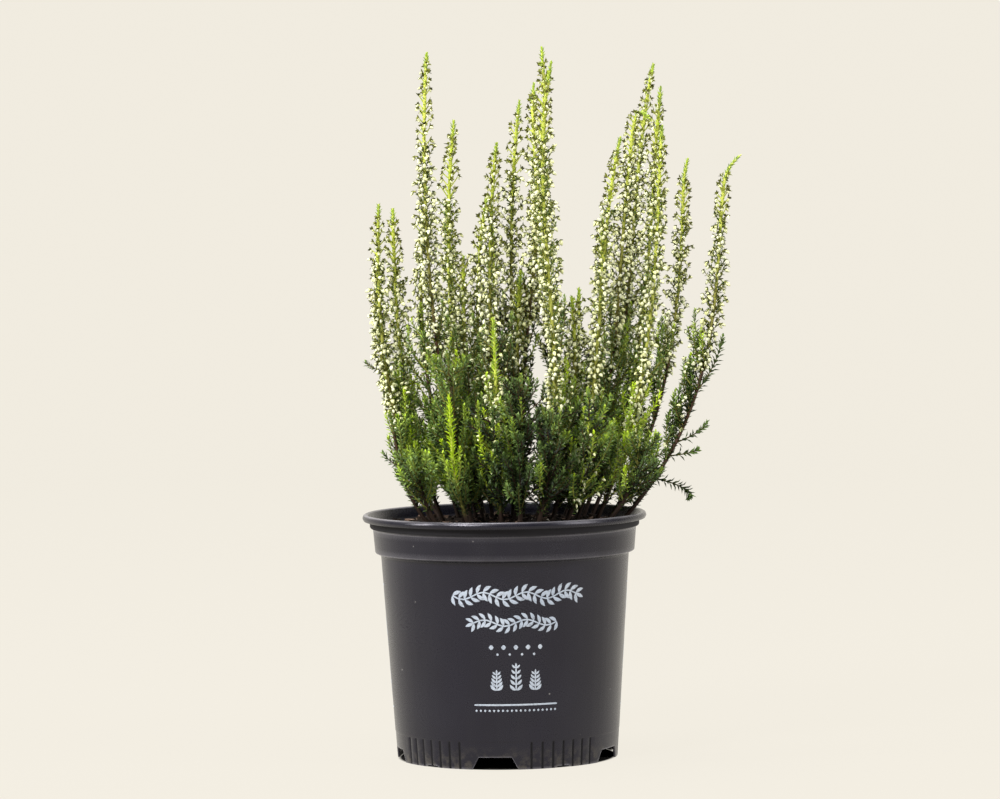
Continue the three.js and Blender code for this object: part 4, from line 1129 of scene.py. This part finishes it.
# How far down leaves and broad sprigs start, how much fresher than usual side shoots and
# sprigs are, and the odds of a bright sprig, by how far right a stem's shoulder stands. The
# freshness and the odds rise toward both sides and fall in the middle: painted light on the bush's
# sides and painted shade in its middle.
LEAVES_FOOT = ([-40, -30, 50, 62], [115.0, 113.0, 113.0, 114.0])
SPRIGS_FOOT = ([-36, -24], [122.0, 118.0])
SHOOT_PAINTED_LIGHT_SHADE = ([-30, -12, 0, 25, 45, 90], [0.13, 0.05, -0.09, -0.05, 0.02, 0.10])
SPRIG_PAINTED_LIGHT_SHADE = ([-20, -8, 12, 25, 45], [0.15, -0.08, -0.08, -0.01, 0.05])
BRIGHT_SPRIG_ODDS_PAINTED_LIGHT = ([-20, -10, 0, 20], [0.35, 0.07, 0.08, 0.4])


def on_stem(own, z):
    """A stem's centre at heights z, and its heading there: from the centre a little below
    to the centre a little above."""
    return centre_at(own, z), unit(centre_at(own, z + 0.4) - centre_at(own, z - 0.4))


def paired_stalks(own, rng, z, girth, bloom_length, climbs):
    """Opposite side stalks at heights z, each pair a quarter turn on from the last: where
    each leaves the stem, its direction, how far buds reach there, and how far down the
    flowering length it is."""
    count = len(z)
    turn = np.pi / 2 * np.arange(count) + rng.normal(0, 0.3, count) + rng.random() * np.pi
    turn = np.concatenate([turn, turn + np.pi + rng.normal(0, 0.2, count)])
    at = centre_at(own, np.tile(z, 2) + rng.normal(0, 0.4, 2 * count))
    down = (TOP[own] - at[:, 2]) / bloom_length
    reach = girth * np.interp(down, BUD_REACH[:, 0], BUD_REACH[:, 1])
    climb = np.radians(rng.uniform(*climbs, 2 * count))
    out = np.stack([np.cos(turn) * np.cos(climb), np.sin(turn) * np.cos(climb), np.sin(climb)], -1)
    return at, out, reach / np.cos(climb), down


for own, (name, shoulder, tip, bloom, girth, shoots) in enumerate(STEMS):
    rng = np.random.default_rng(FIRST_SEED + own)
    heap = []
    lime = LIME.get(name, 0.0)
    is_spike = name == "front_left_lime"
    right_by, top = shoulder[0], float(tip[2])
    height = top - FOOT_Z
    bloom_length = max(bloom * height, 1.0)
    usual_tip = 8.0 + 6.0 * rng.random()
    tip_length = TIP_LENGTH.get(name, usual_tip)
    bloom_down = LOW_BLOOM.get(name, USUAL_LOW_BLOOM) * bloom_length if bloom > 0 else tip_length
    bloom_foot = top - bloom_down

    # The stem's own wood, thick at the foot and green toward the tip.
    z = np.append(np.arange(FOOT_Z, top - 2.0, WOOD_STEP), [top - 1.2, top - 0.3])
    thickness = np.interp(z, [FOOT_Z, LIP_TOP_Z, bloom_foot, top - tip_length, top], WOOD_RADII)
    shape, triangles, reach = tube(centre_at(own, z)[None], thickness[None], WOOD_SIDES)
    bloom_middle, bloom_top = top - 0.6 * bloom_length, top - 0.3 * bloom_length
    green = np.interp(
        z,
        [FOOT_Z, 134 if is_spike else 130, bloom_foot, bloom_middle, bloom_top, top],
        [0.0, 0.10 + 0.5 * lime, 0.24 + 0.5 * lime, 0.55 + 0.4 * lime, 0.85, 0.9],
    )
    tint = np.full(len(reach), rng.random())
    heap.append((shape[0], triangles, BARK, np.repeat(green, WOOD_SIDES), reach, tint))

    # Close-set leaves of the growing tip.
    _, order, u = steps_along(np.array([tip_length]), TIP_PITCH)
    z = top - TIP_BARE - (tip_length - TIP_BARE) * (1 - u)
    below = top - z
    leaf_length = np.interp(below, [1, 4, 14], [1.8, 2.6, 2.7 + 0.9 * lime])
    lean = np.interp(below, [1, 4, 12], [0.3, 0.66, 0.75 + 0.15 * lime])
    fresh = np.interp(below, [0, 12], [0.74, 0.68] if bloom > 0 else [0.58, 0.34])
    fresh = np.maximum(fresh, 1.05 * lime)
    add_leaves(heap, rng, *on_stem(own, z), order, leaf_length, lean, fresh, 1.2)

    # Leaves on the stem itself below the buds.
    leaves_foot = np.interp(right_by, *LEAVES_FOOT)
    leafy_length = max(bloom_foot - leaves_foot, 2.0)
    _, order, u = steps_along(np.array([leafy_length]), STEM_LEAF_PITCH)
    z = leaves_foot + (bloom_foot - leaves_foot) * u
    fresh = np.interp(u, [0, 1], [0.10, 0.28]) + 0.5 * lime * u
    add_leaves(heap, rng, *on_stem(own, z), order, 2.8, 0.85, fresh)

    # Side shoots: the main ones in their places, and shorter ones between them.
    number = np.arange(shoots)
    highest = max(top - (bloom + 0.12) * height, LOW_SHOOT_Z + 12)
    main_z = LOW_SHOOT_Z + (highest - LOW_SHOOT_Z) * number / max(shoots - 1, 1)
    main_turn = SPIRAL_DEG * number + 360 * chance(own)
    main_rise = np.minimum(22 + 10 * chance(100 * own + 40 + number), top - main_z - 4)
    main_spread = 9 + 6 * chance(100 * own + 60 + number)
    sparser = BACK_SPARSER if name.startswith("back_") else 1.0
    between_z = np.arange(leaves_foot, max(bloom_foot + 8, 130), sparser * SHOOT_GAP)
    extra = len(between_z)
    between_z = np.clip(between_z + rng.normal(0, 1.0, extra), leaves_foot, top - 12)
    between_turn = SPIRAL_DEG * np.arange(extra) + 70 + 30 * rng.standard_normal(extra)
    if name in AIMS:
        main_turn = AIMS[name] + 110 * (chance(10 * own + number) - 0.5)
        between_turn = AIMS[name] + 50 * rng.standard_normal(extra)
    between_rise = np.minimum(rng.uniform(*BETWEEN_RISES, extra), top - between_z - 3)
    between_spread = rng.uniform(*BETWEEN_SPREADS, extra)
    root_z = np.append(main_z, between_z)
    fresh = np.clip(rng.normal(0.24, 0.11, len(root_z)), 0.0, 0.5)
    fresh = np.where(rng.random(len(root_z)) < 0.12, fresh + 0.3, fresh)
    # Painted light and shade: shoots are lighter toward the bush's sides and darker in its middle.
    fresh += np.interp(right_by, *SHOOT_PAINTED_LIGHT_SHADE)
    fresh = np.clip(fresh + 0.65 * lime * (root_z > 118), 0, 0.95)
    rise, spread = np.append(main_rise, between_rise), np.append(main_spread, between_spread)
    if is_spike:
        rise = 0.5 * rise
        spread = np.append(0.4 * main_spread, 0.45 * between_spread)
        fresh = np.interp(root_z, [116, 128, 145], [0.15, 0.55, 0.85])
    turn = np.radians(np.append(main_turn, between_turn))
    at, tangent = add_side_shoots(heap, own, rng, (root_z, turn, rise, spread), fresh)

    # Broad short sprigs at the foot of the bush, which fill it and stand out over the lip.
    if -40 < right_by < 66 and not is_spike:
        root_z = np.arange(np.interp(right_by, *SPRIGS_FOOT), min(SPRIG_TOP_Z, top - 12), SPRIG_GAP)
        count = len(root_z)
        outward = np.arctan2(WAY[own, 1, 1], WAY[own, 1, 0] - 12.0)
        turn = outward + rng.normal(0, 0.8, count)
        fresh = np.clip(rng.normal(0.07, 0.09, count), 0.0, 0.5)
        # Painted light and shade: sprigs are lighter and more often bright toward the sides, and
        # darker in the middle.
        fresh += np.interp(right_by, *SPRIG_PAINTED_LIGHT_SHADE)
        bright = rng.random(count) < np.interp(right_by, *BRIGHT_SPRIG_ODDS_PAINTED_LIGHT)
        fresh = np.where(bright, fresh + 0.34, fresh)
        sprigs = (
            root_z + rng.normal(0, 0.6, count), turn,
            rng.uniform(*SPRIG_RISES, count), rng.uniform(*SPRIG_SPREADS, count),
        )
        add_side_shoots(heap, own, rng, sprigs, fresh, room=-3.0, broad=1.12)

    if name in TWIGS:
        twig_z, twig_deg, twig_rise, twig_spread = np.array(TWIGS[name], float).T
        twigs = (twig_z, np.radians(twig_deg), twig_rise, twig_spread)
        add_side_shoots(heap, own, rng, twigs, np.full(len(twig_z), 0.22), room=-20.0, broad=1.3)

    if bloom > 0 and not is_spike:
        # Odd buds among the leaves of the side shoots.
        odds = np.interp(at[:, 2], [bloom_foot - 45, bloom_foot], [0.0, 0.15])
        odd = rng.random(len(at)) < odds
        out = unit(tangent[odd] + rng.normal(0, 0.8, (odd.sum(), 3)))
        ripe = np.clip(rng.normal(0.7, 0.15, odd.sum()), 0.2, 1)
        add_flowers(heap, own, rng, at[odd], out, 1.2, ripe, 0.3, 0.2)

        # Single buds on rising stalks, in crossed pairs under the growing tip.
        lone_foot = top - LONE_SHARE * bloom_length
        z = np.arange(top - tip_length + 1.0, lone_foot, -LONE_BUD_GAP)
        if len(z) > 0:
            at, out, reach, down = paired_stalks(own, rng, z, girth, bloom_length, LONE_CLIMB)
            ripe = np.interp(down, [0.1, 0.2, 0.36], [0.25, 0.5, 0.75])
            ripe = np.clip(ripe + rng.normal(0, 0.1, len(at)), 0, 1)
            stalk = np.maximum(reach * rng.uniform(0.5, 0.75, len(at)), 1.1)
            add_flowers(heap, own, rng, at, out, stalk, ripe, 0.85, 0.7, 1.2)

        # Small fresh leaves on the stem between its buds.
        run = GREEN_SHARE * bloom_length - tip_length
        _, order, u = steps_along(np.array([run]), GREEN_STEM_PITCH)
        fresh = np.interp(u, [0, 0.5, 1], [0.78, 0.62, 0.40]) + 0.3 * lime
        place_on = on_stem(own, top - tip_length - run * u)
        add_leaves(heap, rng, *place_on, order, 2.4, 0.8, fresh, 1.1)

        # Short side stalks, each with a few buds and small leaves.
        first_z = min(lone_foot, top - tip_length)
        z = np.arange(first_z, bloom_foot - 4, -sparser * SIDE_STALK_GAP)
        at, out, reach, down = paired_stalks(own, rng, z, girth, bloom_length, SIDE_CLIMB)
        far = np.maximum((reach - 2.8) * rng.uniform(0.75, 1.1, len(at)), 1.6)
        end = keep_in_room(own, at + out * far[:, None], 3.0)
        line = np.stack([at, (at + end) / 2 - [0, 0, 0.3], end], 1)
        shape, triangles, reach = tube(line, np.tile([0.3, 0.26, 0.2], (len(at), 1)), 3)
        heaped(heap, shape, triangles, BARK, 0.45 + 0.4 * lime, reach, rng.random(len(at)))
        side = np.cross(out, [0.0, 0.0, 1.0])
        for share, aside in ((0.3, 1.0), (0.65, -1.0), (0.97, 0.0)):
            kept = rng.random(len(at)) < 0.9
            way = unit(out * 0.5 + aside * side + rng.normal(0, 0.35, out.shape))[kept]
            ripe = np.interp(down, [0.3, 0.5, 0.9, 1.1], [0.7, 0.92, 1.0, 0.92])[kept]
            ripe = np.clip(ripe + rng.normal(0, 0.12, len(ripe)), 0.1, 1)
            stalk = rng.uniform(0.9, 1.5, len(ripe))
            spot = (at + share * (end - at))[kept]
            add_flowers(heap, own, rng, spot, way, stalk, ripe, 0.5, 0.35, 0.92)
        which, order, u = steps_along(np.linalg.norm(end - at, axis=1), STALK_LEAF_PITCH)
        spot = at[which] + u[:, None] * (end - at)[which]
        heading = unit((end - at)[which])
        add_leaves(heap, rng, spot, heading, order, 1.8, 0.8, 0.2 + 0.3 * lime)

    low, high = (np.array(corner) / MM for corner in cad_box)
    points, triangles = joined(heap)
    finish_number = np.concatenate([np.full(len(part[1]), part[2]) for part in heap])
    layers = {
        layer: np.concatenate([part[k] for part in heap])
        for k, layer in ((3, "fresh"), (4, "reach"), (5, "tint"))
    }
    shoot = put_in_mesh(f"heather_{name}", np.clip(points, low, high), triangles, FINISHES,
                        layers, finish_number, sharp_deg=65)
    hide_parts(f"stem_{name}")
    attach(shoot, "root")

# Floor, light and camera
# A plain pale floor that curves up behind into a backdrop, soft light from the front left
# and the right, and the camera straight in front, a little above the pot's lip.

FLOOR_FRONT_Y = -12.0
FLOOR_HALF_WIDTH = 6.0
SWEEP_START_Y = 2.0
SWEEP_RADIUS = 1.0
BACKDROP_TOP = 5.0
FOOT_SHADE = (0.0488, 0.0505)
FLOOR_GLOW = 0.94
CAMERA_PLACE = (-0.00126, -2.0, 0.26)
LENS_MM = 157.72
TILT = 0.0482
ROLL = 0.0142

floor_look, tree, shader, place = finish_of(
    "pale_floor", Specular_IOR_Level=0.0, Roughness=1.0, Base_Color=(0.018, 0.017, 0.016, 1),
    Emission_Color=(0.920, 0.876, 0.780, 1),
)
# Painted shadow: the floor's glow is taken away in a disc under the pot's foot.
from_middle = node(tree, "ShaderNodeVectorMath", {0: place}, operation="LENGTH").outputs["Value"]
lit_floor = between(tree, from_middle, *FOOT_SHADE, 0.0, FLOOR_GLOW)
tree.links.new(lit_floor, shader.inputs["Emission Strength"])
sweep = np.linspace(0, np.pi / 2, 12)
curve_y = SWEEP_START_Y + SWEEP_RADIUS * np.sin(sweep)
curve_z = SWEEP_RADIUS * (1 - np.cos(sweep))
floor_profile = np.vstack(
    [[(FLOOR_FRONT_Y, 0)], np.column_stack([curve_y, curve_z]), [(curve_y[-1], BACKDROP_TOP)]]
)
floor_points = np.vstack(
    [np.insert(floor_profile, 0, x, axis=1) for x in (-FLOOR_HALF_WIDTH, FLOOR_HALF_WIDTH)]
)
strip = np.arange(len(floor_profile) - 1)
over = len(floor_profile)
floor_faces = np.stack([strip, strip + over, strip + over + 1, strip + 1], -1)
floor_mesh = bpy.data.meshes.new("floor")
floor_mesh.from_pydata(floor_points.tolist(), [], floor_faces.tolist())
floor_mesh.materials.append(floor_look)
floor_mesh.polygons.foreach_set("use_smooth", np.ones(len(floor_mesh.polygons), bool))
floor = bpy.data.objects.new("floor", floor_mesh)
bpy.context.scene.collection.objects.link(floor)
floor.visible_diffuse = False

world = bpy.data.worlds.new("studio")
world.use_nodes = True
world.node_tree.nodes["Background"].inputs["Color"].default_value = (1.0, 0.98, 0.94, 1)
world.node_tree.nodes["Background"].inputs["Strength"].default_value = 0.25
bpy.context.scene.world = world
bpy.context.scene.view_settings.view_transform = "Standard"


def soft_box(name, place, target, width, height, watts):
    """An oblong area light at a place in metres, turned to face a target."""
    light = bpy.data.lights.new(name, "AREA")
    light.shape = "RECTANGLE"
    light.size, light.size_y, light.energy = width, height, watts
    made = bpy.data.objects.new(name, light)
    bpy.context.scene.collection.objects.link(made)
    aim = np.array(target, float) - np.array(place, float)
    back = -aim / np.linalg.norm(aim)
    right = np.cross([0.0, 0.0, 1.0], back)
    right /= np.linalg.norm(right)
    up = np.cross(back, right)
    rows = [[right[k], up[k], back[k], place[k]] for k in range(3)]
    made.matrix_world = Matrix(rows + [[0, 0, 0, 1]])


soft_box("key_light", (-1.1, -1.5, 1.5), (0, 0, 0.2), width=0.6, height=0.6, watts=49.0)
soft_box("right_light", (1.6, -0.7, 0.9), (0, 0, 0.22), width=0.8, height=1.4, watts=24.0)
soft_box("left_light", (-1.7, -0.5, 1.0), (0, 0, 0.15), width=0.3, height=0.9, watts=22.0)
soft_box("top_light", (-0.3, 0.3, 1.9), (0, 0, 0.2), width=0.7, height=0.7, watts=25.0)

camera_data = bpy.data.cameras.new("camera")
camera_data.lens = LENS_MM
camera_data.sensor_width = 36.0
camera_data.sensor_fit = "HORIZONTAL"
camera_data.clip_end = 50.0
camera = bpy.data.objects.new("camera", camera_data)
bpy.context.scene.collection.objects.link(camera)
camera.matrix_world = (
    Matrix.Translation(CAMERA_PLACE)
    @ Matrix.Rotation(math.pi / 2 - TILT, 4, "X")
    @ Matrix.Rotation(-ROLL, 4, "Z")
)
bpy.context.scene.camera = camera
